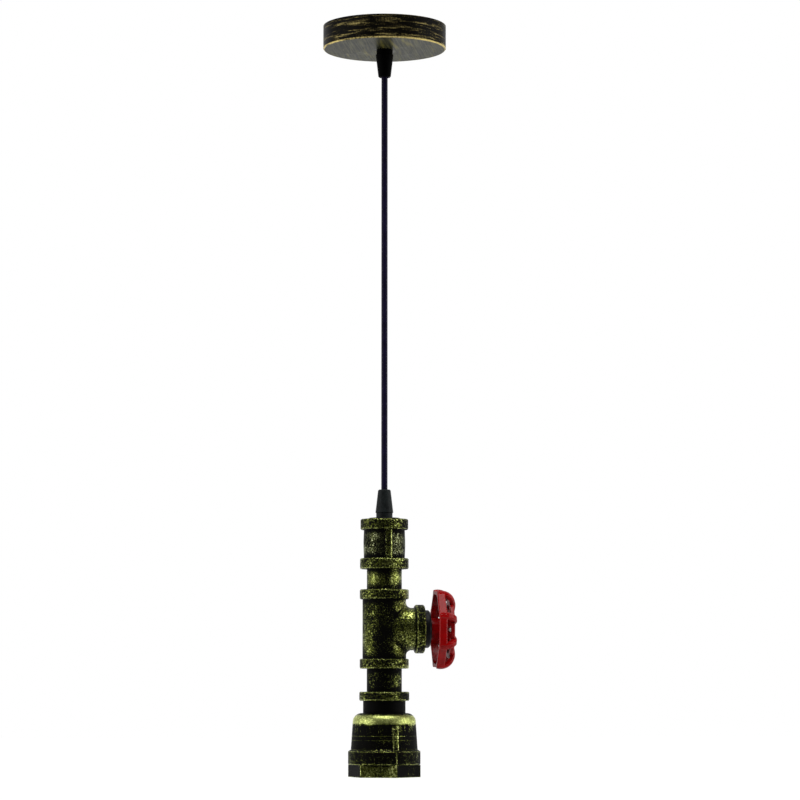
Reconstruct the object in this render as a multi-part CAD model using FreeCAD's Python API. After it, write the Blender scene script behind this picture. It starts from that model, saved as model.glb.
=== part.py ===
import FreeCAD, Part
import math
import os

# Pendant light made of one-inch pipe fittings, hung on a round cord from a ceiling canopy.
# Millimetres. Z is up, the ceiling is the plane z = 0, and the lamp hangs on the Z axis.
# The tee's branch, and so the axis of the valve wheel, points along +X.

Vector = FreeCAD.Vector
ORIGIN = Vector(0, 0, 0)
UP = Vector(0, 0, 1)
BEVEL = "bevel"

# Running and seating clearances
RUNNING_FIT = 0.05
LOOSE_FIT = 0.2
FACE_GAP = 0.3

# Ceiling canopy, a spun steel cup
CANOPY_DIAMETER = 120.0
CANOPY_HEIGHT = 23.0
CANOPY_WALL = 1.2
CANOPY_EDGE = 1.0

# Ceiling bracket, a bent strap with two screw slots
BRACKET_LENGTH = 100.0
BRACKET_WIDTH = 22.0
BRACKET_THICKNESS = 2.0
BRACKET_DROP = 12.0
BRACKET_PLATE_LENGTH = 40.0
BRACKET_LEG_RUN = 8.0
BRACKET_BEND = 1.5
BRACKET_BEND_SHIFT = 0.7
SLOT_MARGIN = 12.0
SLOT_LENGTH = 14.0
SLOT_WIDTH = 5.2
EARTH_SCREW_PLACE = 14.0
EARTH_SCREW_RADIUS = 2.0
EARTH_HEAD_RADIUS = 3.6
EARTH_HEAD_HEIGHT = 2.4
EARTH_HEAD_SLOT = 0.8
EARTH_SCREW_LENGTH = 6.0

# M10 threaded tubes and their nuts
THREAD_TUBE_RADIUS = 5.0
THREAD_TUBE_BORE = 3.7
NUT_FLATS = 14.0
NUT_THICKNESS = 3.0
TUBE_OVERRUN = 1.0
GRIP_ENGAGEMENT = 8.0

# Cord grips, one under the canopy and one on the lamp
GRIP_HEIGHT = 27.4
GRIP_FOOT_RADIUS = 7.9
GRIP_FOOT_HEIGHT = 4.8
GRIP_LIP_RADIUS = 8.6
GRIP_LIP_BEVEL = 0.5
GRIP_TIP_RADIUS = 6.1
GRIP_TIP_CHAMFER = 0.8
GRIP_THREAD_RADIUS = 6.6
GRIP_THREAD_TOP = 11.0
GRIP_COLLET_RADIUS = 5.0
GRIP_COLLET_TOP = 18.0
GRIP_MOUTH_RADIUS = 4.5
GRIP_MOUTH_DEPTH = 5.5

# Cord: round three-core flex
CORD_DIAMETER = 6.1
CORD_RUN = 404.0
CORD_PIVOT_DEPTH = 1.5
CORE_DIAMETER = 2.0
CORE_RING = 1.25
CORE_STANDOFF = 3.6
CORE_LEAD = 12.0

# Terminal block in the canopy
BLOCK_PITCH = 8.0
BLOCK_POLES = 3
BLOCK_DEPTH = 17.0
BLOCK_HEIGHT = 13.0
BLOCK_BASE_HEIGHT = 4.0
BLOCK_NEAR_FACE = 20.0
SLEEVE_RADIUS = 2.3
SLEEVE_BORE = 1.4
SLEEVE_LENGTH = 14.0
CLAMP_SCREW_RADIUS = 1.3
CLAMP_SCREW_PLACE = 4.0
CLAMP_SCREW_SUNK = 1.0

# One-inch pipe and its threads
PIPE_RADIUS = 16.85
PIPE_BORE = 13.6
THREAD_DEPTH = 17.0
THREAD_RELIEF = 1.0
BAND_EDGE = 0.8

# Plug in the coupling's top
PLUG_BOSS_RADIUS = 15.0
PLUG_BOSS_HEIGHT = 1.2
PLUG_BOSS_BEVEL = 0.4
PLUG_DEPTH = 9.8
EARTH_TAG_THICKNESS = 1.0
EARTH_TAG_RADIUS = 7.6
EARTH_TAG_REACH = 12.0
EARTH_TAG_WIDTH = 4.4

# Coupling
COUPLING_LENGTH = 48.0
COUPLING_BODY_RADIUS = 19.7
COUPLING_BULGE = 0.6
COUPLING_BULGE_ROUND = 150.0
COUPLING_TOP_BAND_RADIUS = 23.0
COUPLING_LOW_BAND_RADIUS = 23.4
COUPLING_BAND_HEIGHT = 10.2
COUPLING_RIB_AZIMUTH = 5.5
COUPLING_RIB_WIDTH = 6.2
COUPLING_RIB_RISE = 1.1

# Lengths of bare pipe that show between the fittings
UPPER_PIPE_SHOWN = 19.7
LOWER_PIPE_SHOWN = 22.1

# Tee
TEE_RUN = 76.0
TEE_BODY_RADIUS = 21.0
TEE_BAND_RADIUS = 23.6
TEE_BAND_HEIGHT = 9.4
TEE_BRANCH_REACH = 38.2
TEE_NECK_RADIUS = 20.4
TEE_BRANCH_BAND_RADIUS = 23.4
TEE_BRANCH_BAND_HEIGHT = 8.6
TEE_CROTCH_FILLET = 5.0
TEE_CHAMBER_RADIUS = 17.4

# Reducing socket, the bell that holds the lampholder
BELL_HEIGHT = 81.4
BELL_TOP_BAND_RADIUS = 24.0
BELL_TOP_BAND_HEIGHT = 8.7
BELL_NECK_RADIUS = 20.4
BELL_NECK_BOTTOM = 20.4
BELL_SHOULDER_RADIUS = 29.7
BELL_SHOULDER_ROUND = 8.6
BELL_SKIRT_RADIUS = 32.1
BELL_RING_RADIUS = 34.75
BELL_RING_TOP = 55.2
BELL_RING_BOTTOM = 69.7
BELL_RING_SLOPE = 1.6
BELL_HEX_CORNER = 35.3
BELL_HEX_AZIMUTH = 13.5
BELL_MOUTH_RADIUS = 26.8
BELL_WALL = 3.6
BELL_LEDGE_THICKNESS = 3.0
BELL_LEDGE_BORE = 11.5
BELL_RIB_WIDTH = 5.6
BELL_RIB_RISE = 1.0
BELL_RIB_TOP = 33.4
BELL_SEAM_WIDTH = 1.0
BELL_SEAM_RISE = 0.35

# Clamp plates and lampholder
CLAMP_WASHER_RADIUS = 16.3
CLAMP_WASHER_THICKNESS = 2.0
HOLDER_PLATE_RADIUS = 15.0
HOLDER_PLATE_THICKNESS = 1.5
HOLDER_RADIUS = 20.0
HOLDER_WALL = 2.0
HOLDER_LENGTH = 51.0
HOLDER_CAP_LENGTH = 22.0
HOLDER_NECK_RADIUS = 9.0
HOLDER_NECK_HEIGHT = 6.0
HOLDER_ENTRY_DEPTH = 10.0
HOLDER_DOME_BEVEL = 5.0
HOLDER_DOME_SLOPE = 2.0
HOLDER_CEILING_RUN = 3.0
HOLDER_CEILING_DROP = 4.0
HOLDER_RIM_BEVEL = 1.2
HOLDER_LIP_BORE = 14.7
HOLDER_LIP_THICKNESS = 1.8
CORE_DISC_TOP = 17.0
CORE_DISC_THICKNESS = 7.0
CORE_BOSS_RADIUS = 14.6
CORE_BOSS_BORE = 10.0
CORE_BOSS_HEIGHT = 4.4
SOCKET_BORE = 13.3
SOCKET_WALL = 0.6
SOCKET_LENGTH = 20.0
CONTACT_WIDTH = 6.0
CONTACT_THICKNESS = 0.7
CONTACT_HALF_LENGTH = 7.5
CONTACT_LIFT = 2.6
HOLDER_SCREW_PLACE = 9.0
HOLDER_SCREW_HEAD = 2.6
HOLDER_SCREW_HEAD_HEIGHT = 2.0
HOLDER_SCREW_RADIUS = 1.5
HOLDER_SCREW_DEPTH = 5.0

# Rotary switch behind the valve wheel
BUSH_COLLAR_RADIUS = 18.25
BUSH_COLLAR_WIDTH = 5.7
BUSH_COLLAR_BEVEL = 1.6
BUSH_WELL_RADIUS = 8.7
BUSH_WELL_DEPTH = 3.2
SWITCH_RADIUS = 12.0
SWITCH_LENGTH = 18.0
SWITCH_EDGE_BEVEL = 0.8
SWITCH_NUT_THICKNESS = 2.6
SPINDLE_RADIUS = 3.0
SPINDLE_SEAT = 13.0
SWITCH_POST_SIZE = 5.0
SWITCH_POST_OFFSET = 6.0
SWITCH_POST_SIDE = 2.0

# Valve wheel, measured from the back plane of its skirt
WHEEL_SPOKES = 8
WHEEL_TURN = 3.9
WHEEL_STANDOFF = 10.9
WHEEL_CORNER_RADIUS = 40.5
WHEEL_SCALLOP = 1.0
WHEEL_SKIRT_WIDTH = 7.6
WHEEL_SKIRT_WALL = 3.4
WHEEL_CORNER_ROUND = 3.0
WHEEL_EDGE_BEVEL = 0.8
WHEEL_CREST_RADIUS = 25.8
WHEEL_CREST_HEIGHT = 18.2
WHEEL_ARCH_RADIUS = 14.2
WHEEL_ARCH_TURN = 120.0
WHEEL_SPOKE_DEPTH = 4.6
WHEEL_SPOKE_WIDTH = 6.8
WHEEL_SPOKE_BEVEL = 1.5
WHEEL_SPOKE_ROOT = 2.0
WHEEL_SPOKE_END = 11.5
WHEEL_RING_INNER = 23.4
WHEEL_RING_OUTER = 28.0
WHEEL_RING_BACK = 12.6
WHEEL_RING_FRONT = 16.2
WHEEL_RING_BEVEL = 1.0
WHEEL_HUB_RADIUS = 10.5
WHEEL_HUB_FRONT_RADIUS = 9.0
WHEEL_HUB_FRONT = 12.5
WHEEL_HUB_STEP = 4.2
WHEEL_SQUARE = 4.2
WHEEL_SQUARE_START = -1.0
WHEEL_BOLT_RADIUS = 2.0
WHEEL_WASHER_RADIUS = 5.5
WHEEL_WASHER_THICKNESS = 1.0
WHEEL_NUT_FLATS = 7.0
WHEEL_NUT_THICKNESS = 3.2
WHEEL_BOLT_OVERRUN = 0.5

# Heights down the lamp, from the ceiling
CANOPY_FLOOR = -CANOPY_HEIGHT
GRIP_MOUTH = CANOPY_FLOOR - GRIP_HEIGHT
CORD_PIVOT = GRIP_MOUTH + CORD_PIVOT_DEPTH
LAMP_GRIP_TOP = GRIP_MOUTH - CORD_RUN
PLUG_TOP = LAMP_GRIP_TOP - GRIP_HEIGHT
COUPLING_TOP = PLUG_TOP - PLUG_BOSS_HEIGHT
COUPLING_BOTTOM = COUPLING_TOP - COUPLING_LENGTH
PLUG_BOTTOM = COUPLING_TOP - PLUG_DEPTH
TEE_TOP = COUPLING_BOTTOM - UPPER_PIPE_SHOWN
TEE_CENTRE = TEE_TOP - TEE_RUN / 2
TEE_BOTTOM = TEE_TOP - TEE_RUN
BELL_TOP = TEE_BOTTOM - LOWER_PIPE_SHOWN
BELL_BOTTOM = BELL_TOP - BELL_HEIGHT
BELL_LEDGE = BELL_TOP - THREAD_DEPTH - CLAMP_WASHER_THICKNESS
BELL_CEILING = BELL_LEDGE - BELL_LEDGE_THICKNESS
HOLDER_TOP = BELL_CEILING - HOLDER_PLATE_THICKNESS

# Places that several pieces share
CORD_RADIUS = CORD_DIAMETER / 2
CORE_RADIUS = CORE_DIAMETER / 2
SLOT_SPACING = BRACKET_LENGTH - 2 * SLOT_MARGIN
PLATE_TOP = -BRACKET_DROP
PLATE_BOTTOM = PLATE_TOP - BRACKET_THICKNESS
CEILING_TUBE_TOP = PLATE_TOP + NUT_THICKNESS + TUBE_OVERRUN
LAMP_TUBE_BOTTOM = PLUG_BOTTOM - EARTH_TAG_THICKNESS - NUT_THICKNESS - TUBE_OVERRUN
HOLDER_TUBE_TOP = BELL_LEDGE + CLAMP_WASHER_THICKNESS + NUT_THICKNESS + TUBE_OVERRUN
CEILING_SHEATH_TOP = CEILING_TUBE_TOP + TUBE_OVERRUN
LAMP_SHEATH_BOTTOM = LAMP_TUBE_BOTTOM - TUBE_OVERRUN
BUSH_BACK = TEE_BRANCH_REACH - THREAD_DEPTH
BUSH_FRONT = TEE_BRANCH_REACH + BUSH_COLLAR_WIDTH
WHEEL_BACK = TEE_BRANCH_REACH + WHEEL_STANDOFF
HUB_BACK = BUSH_FRONT + FACE_GAP - WHEEL_BACK
FEMALE_THREAD_RADIUS = PIPE_RADIUS + RUNNING_FIT
CORE_ANGLES = {"earth": 90.0, "neutral": 210.0, "live": 330.0}


def corner_cut(before, here, after, radius):
    """Start, middle and end of the arc that rounds the corner at here."""
    back = (before - here).normalize()
    ahead = (after - here).normalize()
    half = back.getAngle(ahead) / 2
    reach = radius / math.tan(half)
    bisector = (back + ahead).normalize()
    centre = here + bisector * (radius / math.sin(half))
    return here + back * reach, centre - bisector * radius, here + ahead * reach


def corner_edges(before, here, after, style):
    """Start and end of a plain, rounded or bevelled corner, with the edges between them."""
    if not style:
        return here, here, []
    if len(style) > 1:
        enter = here + (before - here).normalize() * style[0]
        leave = here + (after - here).normalize() * style[0]
        return enter, leave, [Part.makeLine(enter, leave)]
    enter, middle, leave = corner_cut(before, here, after, style[0])
    return enter, leave, [Part.Arc(enter, middle, leave).toShape()]


def outline(corners):
    """Closed wire in the XZ plane through (x, z), (x, z, rounding) or (x, z, size, BEVEL) corners."""
    points = [Vector(corner[0], 0, corner[1]) for corner in corners]
    count = len(points)
    stops = [corner_edges(points[index - 1], points[index], points[(index + 1) % count], corners[index][2:])
             for index in range(count)]
    edges = []
    for index in range(count):
        enter, leave, corner = stops[index]
        last_leave = stops[index - 1][1]
        if (enter - last_leave).Length > 1e-6:
            edges.append(Part.makeLine(last_leave, enter))
        edges.extend(corner)
    return Part.Wire(Part.__sortEdges__(edges))


def turned(corners, turn=360):
    """Solid of revolution about Z from an outline's corners."""
    return Part.Face(outline(corners)).revolve(ORIGIN, UP, turn)


def ring(inner, outer, low, high, bevel=0.0):
    """Round tube or washer about Z, its outer edges bevelled."""
    edge = (bevel, BEVEL) if bevel else ()
    return turned([(inner, low), (outer, low) + edge, (outer, high) + edge, (inner, high)])


def rod(radius, low, high):
    """Plain round bar about Z."""
    return Part.makeCylinder(radius, high - low, Vector(0, 0, low))


def prism(corner_radius, sides, low, high, turn=0.0):
    """Upright regular prism about Z, with its first corner turn degrees from -Y towards +X."""
    points = []
    for index in range(sides + 1):
        angle = math.radians(turn - 90 + 360 * index / sides)
        points.append(Vector(corner_radius * math.cos(angle), corner_radius * math.sin(angle), low))
    return Part.Face(Part.makePolygon(points)).extrude(Vector(0, 0, high - low))


def nut(flats, bore, low, high):
    """Hexagon nut about Z."""
    return prism(flats / math.sqrt(3), 6, low, high).cut(rod(bore, low - 1, high + 1))


def block(x_low, x_high, y_low, y_high, z_low, z_high):
    """Square block between two corners."""
    size = (x_high - x_low, y_high - y_low, z_high - z_low)
    return Part.makeBox(*size, Vector(x_low, y_low, z_low))


def around_z(shape, angle):
    """Copy of a shape turned about Z."""
    copy = shape.copy()
    copy.rotate(ORIGIN, UP, angle)
    return copy


def lifted(shape, height):
    """Copy of a shape moved up."""
    copy = shape.copy()
    copy.translate(Vector(0, 0, height))
    return copy


def on_branch(shape, along=0.0):
    """Copy of a shape about Z laid on the branch axis, its Z becoming +X."""
    copy = shape.copy()
    copy.rotate(ORIGIN, Vector(0, 1, 0), 90)
    copy.translate(Vector(along, 0, TEE_CENTRE))
    return copy


def mitred_tube(points, radius):
    """Round tube along straight runs that meet in mitred corners."""
    runs = [Part.makeLine(start, end) for start, end in zip(points, points[1:])]
    circle = Part.Wire(Part.makeCircle(radius, points[0], points[1] - points[0]))
    return Part.Wire(runs).makePipeShell([circle], True, False, 1)


def core_start(name, height):
    """Where one core leaves the end of the sheath."""
    angle = math.radians(CORE_ANGLES[name])
    return Vector(CORE_RING * math.cos(angle), CORE_RING * math.sin(angle), height)


# Ceiling pieces

def ceiling_canopy():
    outer = CANOPY_DIAMETER / 2
    inner = outer - CANOPY_WALL
    hole = THREAD_TUBE_RADIUS + LOOSE_FIT
    return turned([(outer, 0), (inner, 0), (inner, CANOPY_FLOOR + CANOPY_WALL),
                   (hole, CANOPY_FLOOR + CANOPY_WALL), (hole, CANOPY_FLOOR),
                   (outer, CANOPY_FLOOR, CANOPY_EDGE, BEVEL)])


def mounting_bracket():
    end = BRACKET_LENGTH / 2
    plate = BRACKET_PLATE_LENGTH / 2
    foot = plate + BRACKET_LEG_RUN
    thick = BRACKET_THICKNESS
    slope = BRACKET_BEND_SHIFT
    profile = [(-end, 0), (-end, -thick), (-foot - slope, -thick, BRACKET_BEND),
               (-plate - slope, PLATE_BOTTOM, BRACKET_BEND), (plate + slope, PLATE_BOTTOM, BRACKET_BEND),
               (foot + slope, -thick, BRACKET_BEND), (end, -thick), (end, 0),
               (foot, 0, BRACKET_BEND), (plate, PLATE_TOP, BRACKET_BEND),
               (-plate, PLATE_TOP, BRACKET_BEND), (-foot, 0, BRACKET_BEND)]
    strap = Part.Face(outline(profile)).extrude(Vector(0, BRACKET_WIDTH, 0))
    strap.translate(Vector(0, -BRACKET_WIDTH / 2, 0))
    half_run = (SLOT_LENGTH - SLOT_WIDTH) / 2
    for side in (-1, 1):
        centre = side * SLOT_SPACING / 2
        slot = block(centre - half_run, centre + half_run, -SLOT_WIDTH / 2, SLOT_WIDTH / 2, -thick - 1, 1)
        for tip in (centre - half_run, centre + half_run):
            round_end = rod(SLOT_WIDTH / 2, -thick - 1, 1)
            round_end.translate(Vector(tip, 0, 0))
            slot = slot.fuse(round_end)
        strap = strap.cut(slot.removeSplitter())
    strap = strap.cut(rod(THREAD_TUBE_RADIUS + RUNNING_FIT, PLATE_BOTTOM - 1, PLATE_TOP + 1))
    earth_hole = rod(EARTH_SCREW_RADIUS + RUNNING_FIT, PLATE_BOTTOM - 1, PLATE_TOP + 1)
    earth_hole.translate(Vector(EARTH_SCREW_PLACE, 0, 0))
    return strap.cut(earth_hole)


def earth_screw():
    low = PLATE_BOTTOM - EARTH_HEAD_HEIGHT
    head = rod(EARTH_HEAD_RADIUS, low, PLATE_BOTTOM)
    slot = block(-EARTH_HEAD_RADIUS, EARTH_HEAD_RADIUS, -EARTH_HEAD_SLOT / 2, EARTH_HEAD_SLOT / 2,
                 low - 1, low + EARTH_HEAD_HEIGHT / 2)
    shank = rod(EARTH_SCREW_RADIUS, PLATE_BOTTOM, low + EARTH_SCREW_LENGTH)
    screw = head.cut(slot).fuse(shank).removeSplitter()
    screw.translate(Vector(EARTH_SCREW_PLACE, 0, 0))
    return screw


def ceiling_nipple():
    return ring(THREAD_TUBE_BORE, THREAD_TUBE_RADIUS, CANOPY_FLOOR - GRIP_ENGAGEMENT, CEILING_TUBE_TOP)


def ceiling_nuts():
    lows = [PLATE_TOP, PLATE_BOTTOM - NUT_THICKNESS, block_floor()]
    return Part.makeCompound([nut(NUT_FLATS, THREAD_TUBE_RADIUS, low, low + NUT_THICKNESS)
                              for low in lows])


def pole_places():
    first = -BLOCK_PITCH * (BLOCK_POLES - 1) / 2
    return [first + BLOCK_PITCH * index for index in range(BLOCK_POLES)]


def block_floor():
    return CANOPY_FLOOR + CANOPY_WALL


def block_top():
    return block_floor() + BLOCK_HEIGHT


def sleeve_axis():
    return block_floor() + BLOCK_BASE_HEIGHT + SLEEVE_RADIUS


def screw_places():
    middle = BLOCK_NEAR_FACE + BLOCK_DEPTH / 2
    return [middle - CLAMP_SCREW_PLACE, middle + CLAMP_SCREW_PLACE]


def terminal_block():
    """Moulded block with an open channel for each pole's sleeve."""
    half = BLOCK_PITCH * BLOCK_POLES / 2
    near = BLOCK_NEAR_FACE
    far = near + BLOCK_DEPTH
    body = block(-half, half, near, far, block_floor(), block_top())
    channel = SLEEVE_RADIUS + RUNNING_FIT
    for place in pole_places():
        body = body.cut(block(place - channel, place + channel, near - 1, far + 1,
                              block_floor() + BLOCK_BASE_HEIGHT, block_top() + 1))
    return body


def terminal_sleeves():
    start = BLOCK_NEAR_FACE + (BLOCK_DEPTH - SLEEVE_LENGTH) / 2
    sleeves = []
    for place in pole_places():
        base = Vector(place, start, sleeve_axis())
        tube = Part.makeCylinder(SLEEVE_RADIUS, SLEEVE_LENGTH, base, Vector(0, 1, 0))
        sleeves.append(tube.cut(Part.makeCylinder(SLEEVE_BORE, SLEEVE_LENGTH, base, Vector(0, 1, 0))))
    return Part.makeCompound(sleeves)


def terminal_screws():
    screws = []
    for place in pole_places():
        for along in screw_places():
            screw = rod(CLAMP_SCREW_RADIUS, sleeve_axis() + SLEEVE_RADIUS, block_top() - CLAMP_SCREW_SUNK)
            screw.translate(Vector(place, along, 0))
            screws.append(screw)
    return Part.makeCompound(screws)


def ceiling_core(name, pole):
    """Core from the cord's end, over the bracket and into its terminal. The middle one passes lower."""
    start = core_start(name, CEILING_SHEATH_TOP)
    middle = pole == BLOCK_POLES // 2
    bridge = -CORE_RADIUS - 2 * FACE_GAP - (CORE_DIAMETER + LOOSE_FIT if middle else 0)
    drop = BLOCK_NEAR_FACE - CORE_STANDOFF
    place = pole_places()[pole]
    end = screw_places()[0] + CLAMP_SCREW_RADIUS
    points = [start, Vector(start.x, start.y, bridge), Vector(place, drop, bridge),
              Vector(place, drop, sleeve_axis()), Vector(place, end, sleeve_axis())]
    return mitred_tube(points, CORE_RADIUS)


# Cord grips, built standing on z = 0 with the mouth upwards

def grip_base_form():
    thread = GRIP_THREAD_RADIUS
    collet = GRIP_COLLET_RADIUS
    cord_bore = CORD_RADIUS + RUNNING_FIT
    tube_bore = THREAD_TUBE_RADIUS + RUNNING_FIT
    return turned([(tube_bore, 0), (GRIP_FOOT_RADIUS, 0), (GRIP_FOOT_RADIUS, GRIP_FOOT_HEIGHT),
                   (thread, GRIP_FOOT_HEIGHT), (thread, GRIP_THREAD_TOP),
                   (collet, GRIP_THREAD_TOP), (collet, GRIP_COLLET_TOP), (cord_bore, GRIP_COLLET_TOP),
                   (cord_bore, GRIP_ENGAGEMENT + TUBE_OVERRUN), (tube_bore, GRIP_ENGAGEMENT)])


def grip_cap_form():
    """Cap whose taper closes on the base's collet."""
    thread = GRIP_THREAD_RADIUS + RUNNING_FIT
    collet = GRIP_COLLET_RADIUS + RUNNING_FIT
    cord_bore = CORD_RADIUS + FACE_GAP
    low = GRIP_FOOT_HEIGHT
    tip = GRIP_HEIGHT
    chamfer = GRIP_TIP_CHAMFER
    return turned([(thread, low), (GRIP_LIP_RADIUS - GRIP_LIP_BEVEL, low),
                   (GRIP_LIP_RADIUS, low + GRIP_LIP_BEVEL),
                   (GRIP_TIP_RADIUS, tip - chamfer), (GRIP_TIP_RADIUS - chamfer, tip),
                   (GRIP_MOUTH_RADIUS, tip), (cord_bore, tip - GRIP_MOUTH_DEPTH),
                   (cord_bore, GRIP_COLLET_TOP + FACE_GAP), (collet, GRIP_COLLET_TOP + FACE_GAP),
                   (thread, GRIP_THREAD_TOP + FACE_GAP)])


def hung_grip(form):
    """Grip turned mouth down under the canopy."""
    copy = form.copy()
    copy.rotate(ORIGIN, Vector(1, 0, 0), 180)
    copy.translate(Vector(0, 0, CANOPY_FLOOR))
    return copy


# Cord

def cord_neck():
    """The short stretch of cord that bends in the grip's mouth, round about the swing's centre."""
    return Part.makeSphere(CORD_RADIUS, Vector(0, 0, CORD_PIVOT))


def cord_ceiling_tail():
    return rod(CORD_RADIUS, CORD_PIVOT + CORD_RADIUS + FACE_GAP, CEILING_SHEATH_TOP)


def cord():
    run = rod(CORD_RADIUS, LAMP_GRIP_TOP, CORD_PIVOT)
    return run.cut(Part.makeSphere(CORD_RADIUS + FACE_GAP, Vector(0, 0, CORD_PIVOT)))


def cord_lamp_tail():
    return rod(CORD_RADIUS, LAMP_SHEATH_BOTTOM, LAMP_GRIP_TOP)


# Lamp pieces, from the top down

def lamp_nipple():
    return ring(THREAD_TUBE_BORE, THREAD_TUBE_RADIUS, LAMP_TUBE_BOTTOM, PLUG_TOP + GRIP_ENGAGEMENT)


def top_plug():
    hole = THREAD_TUBE_RADIUS + RUNNING_FIT
    return turned([(hole, PLUG_BOTTOM), (PIPE_RADIUS, PLUG_BOTTOM), (PIPE_RADIUS, COUPLING_TOP),
                   (PLUG_BOSS_RADIUS, COUPLING_TOP), (PLUG_BOSS_RADIUS, PLUG_TOP, PLUG_BOSS_BEVEL, BEVEL),
                   (hole, PLUG_TOP)])


def earth_tag():
    high = PLUG_BOTTOM
    low = high - EARTH_TAG_THICKNESS
    tag = ring(THREAD_TUBE_RADIUS + RUNNING_FIT, EARTH_TAG_RADIUS, low, high)
    start = THREAD_TUBE_RADIUS + RUNNING_FIT + 1
    tab = block(-EARTH_TAG_WIDTH / 2, EARTH_TAG_WIDTH / 2, start, EARTH_TAG_REACH, low, high)
    return tag.fuse(tab).removeSplitter()


def plug_nut():
    high = PLUG_BOTTOM - EARTH_TAG_THICKNESS
    return nut(NUT_FLATS, THREAD_TUBE_RADIUS, high - NUT_THICKNESS, high)


def rib(width, azimuth, corners):
    """Raised casting rib: a narrow sector of a revolved profile."""
    reach = max(corner[0] for corner in corners) + 1
    low = min(corner[1] for corner in corners)
    high = max(corner[1] for corner in corners)
    strip = block(-width / 2, width / 2, -reach, 0, low, high)
    return around_z(turned(corners).common(strip), azimuth)


def coupling():
    top = COUPLING_TOP
    low = COUPLING_BOTTOM
    band = COUPLING_BAND_HEIGHT
    body = COUPLING_BODY_RADIUS
    middle = (top + low) / 2
    bulge = body + COUPLING_BULGE
    edge = (BAND_EDGE, BEVEL)
    blank = turned([(PIPE_BORE, top), (COUPLING_TOP_BAND_RADIUS, top) + edge,
                    (COUPLING_TOP_BAND_RADIUS, top - band) + edge, (body, top - band),
                    (bulge, middle, COUPLING_BULGE_ROUND), (body, low + band),
                    (COUPLING_LOW_BAND_RADIUS, low + band) + edge,
                    (COUPLING_LOW_BAND_RADIUS, low) + edge, (PIPE_BORE, low)])
    rise = COUPLING_RIB_RISE
    blank = blank.fuse(rib(COUPLING_RIB_WIDTH, COUPLING_RIB_AZIMUTH,
                           [(PIPE_BORE, top - band / 2), (body + rise, top - band / 2),
                            (bulge + rise, middle), (body + rise, low + band / 2),
                            (PIPE_BORE, low + band / 2)]))
    return blank.removeSplitter().cut(rod(FEMALE_THREAD_RADIUS, low - 1, top + 1))


def pipe_nipple(low, high):
    return ring(PIPE_BORE, PIPE_RADIUS, low, high)


def upper_nipple():
    return pipe_nipple(TEE_TOP - THREAD_DEPTH, COUPLING_BOTTOM + THREAD_DEPTH)


def lower_nipple():
    return pipe_nipple(BELL_TOP - THREAD_DEPTH, TEE_BOTTOM + THREAD_DEPTH)


def tee():
    half = TEE_RUN / 2
    run = rod(TEE_BODY_RADIUS, -half, half)
    neck = Part.makeCylinder(TEE_NECK_RADIUS, TEE_BRANCH_REACH, ORIGIN, Vector(1, 0, 0))
    body = run.fuse(neck)
    crotch = [edge for edge in body.Edges if is_crotch(edge)]
    body = body.makeFillet(TEE_CROTCH_FILLET, crotch)
    for low in (-half, half - TEE_BAND_HEIGHT):
        body = body.fuse(ring(PIPE_BORE, TEE_BAND_RADIUS, low, low + TEE_BAND_HEIGHT, BAND_EDGE))
    collar = ring(PIPE_BORE, TEE_BRANCH_BAND_RADIUS, TEE_BRANCH_REACH - TEE_BRANCH_BAND_HEIGHT,
                  TEE_BRANCH_REACH, BAND_EDGE)
    collar.rotate(ORIGIN, Vector(0, 1, 0), 90)
    body = body.fuse(collar).removeSplitter()
    thread = THREAD_DEPTH + THREAD_RELIEF
    hollow = rod(FEMALE_THREAD_RADIUS, -half - 1, half + 1)
    hollow = hollow.fuse(rod(TEE_CHAMBER_RADIUS, thread - half, half - thread))
    branch = Part.makeCylinder(FEMALE_THREAD_RADIUS, TEE_BRANCH_REACH + 1, ORIGIN, Vector(1, 0, 0))
    hollow = hollow.fuse(branch)
    return lifted(body.cut(hollow), TEE_CENTRE)


def is_crotch(edge):
    """True for the curved edges where the branch meets the run."""
    centre = edge.CenterOfMass
    round_end = isinstance(edge.Curve, (Part.Circle, Part.Line))
    return not round_end and 0 < centre.x < TEE_BODY_RADIUS + 1


def bell_height(down):
    return BELL_TOP - down


def reducing_socket():
    top = BELL_TOP
    band_low = bell_height(BELL_TOP_BAND_HEIGHT)
    ring_top = bell_height(BELL_RING_TOP)
    ring_low = bell_height(BELL_RING_BOTTOM)
    edge = (BAND_EDGE, BEVEL)
    blank = turned([(0, top), (BELL_TOP_BAND_RADIUS, top) + edge, (BELL_TOP_BAND_RADIUS, band_low) + edge,
                    (BELL_NECK_RADIUS, band_low), (BELL_NECK_RADIUS, bell_height(BELL_NECK_BOTTOM)),
                    (BELL_SHOULDER_RADIUS, bell_height(BELL_NECK_BOTTOM), BELL_SHOULDER_ROUND),
                    (BELL_SKIRT_RADIUS, ring_top), (BELL_RING_RADIUS, ring_top - BELL_RING_SLOPE),
                    (BELL_RING_RADIUS, ring_low) + edge, (0, ring_low)])
    hexagon = prism(BELL_HEX_CORNER, 6, BELL_BOTTOM, ring_low, BELL_HEX_AZIMUTH)
    blank = blank.fuse(hexagon).removeSplitter()
    blank = blank.fuse(bell_rib()).fuse(bell_seam()).removeSplitter()
    return blank.cut(bell_hollow())


def skirt_radius(down):
    """Radius of the bell's cone at a depth below the bell's top."""
    share = (down - BELL_NECK_BOTTOM) / (BELL_RING_TOP - BELL_NECK_BOTTOM)
    return BELL_SHOULDER_RADIUS + share * (BELL_SKIRT_RADIUS - BELL_SHOULDER_RADIUS)


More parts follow.
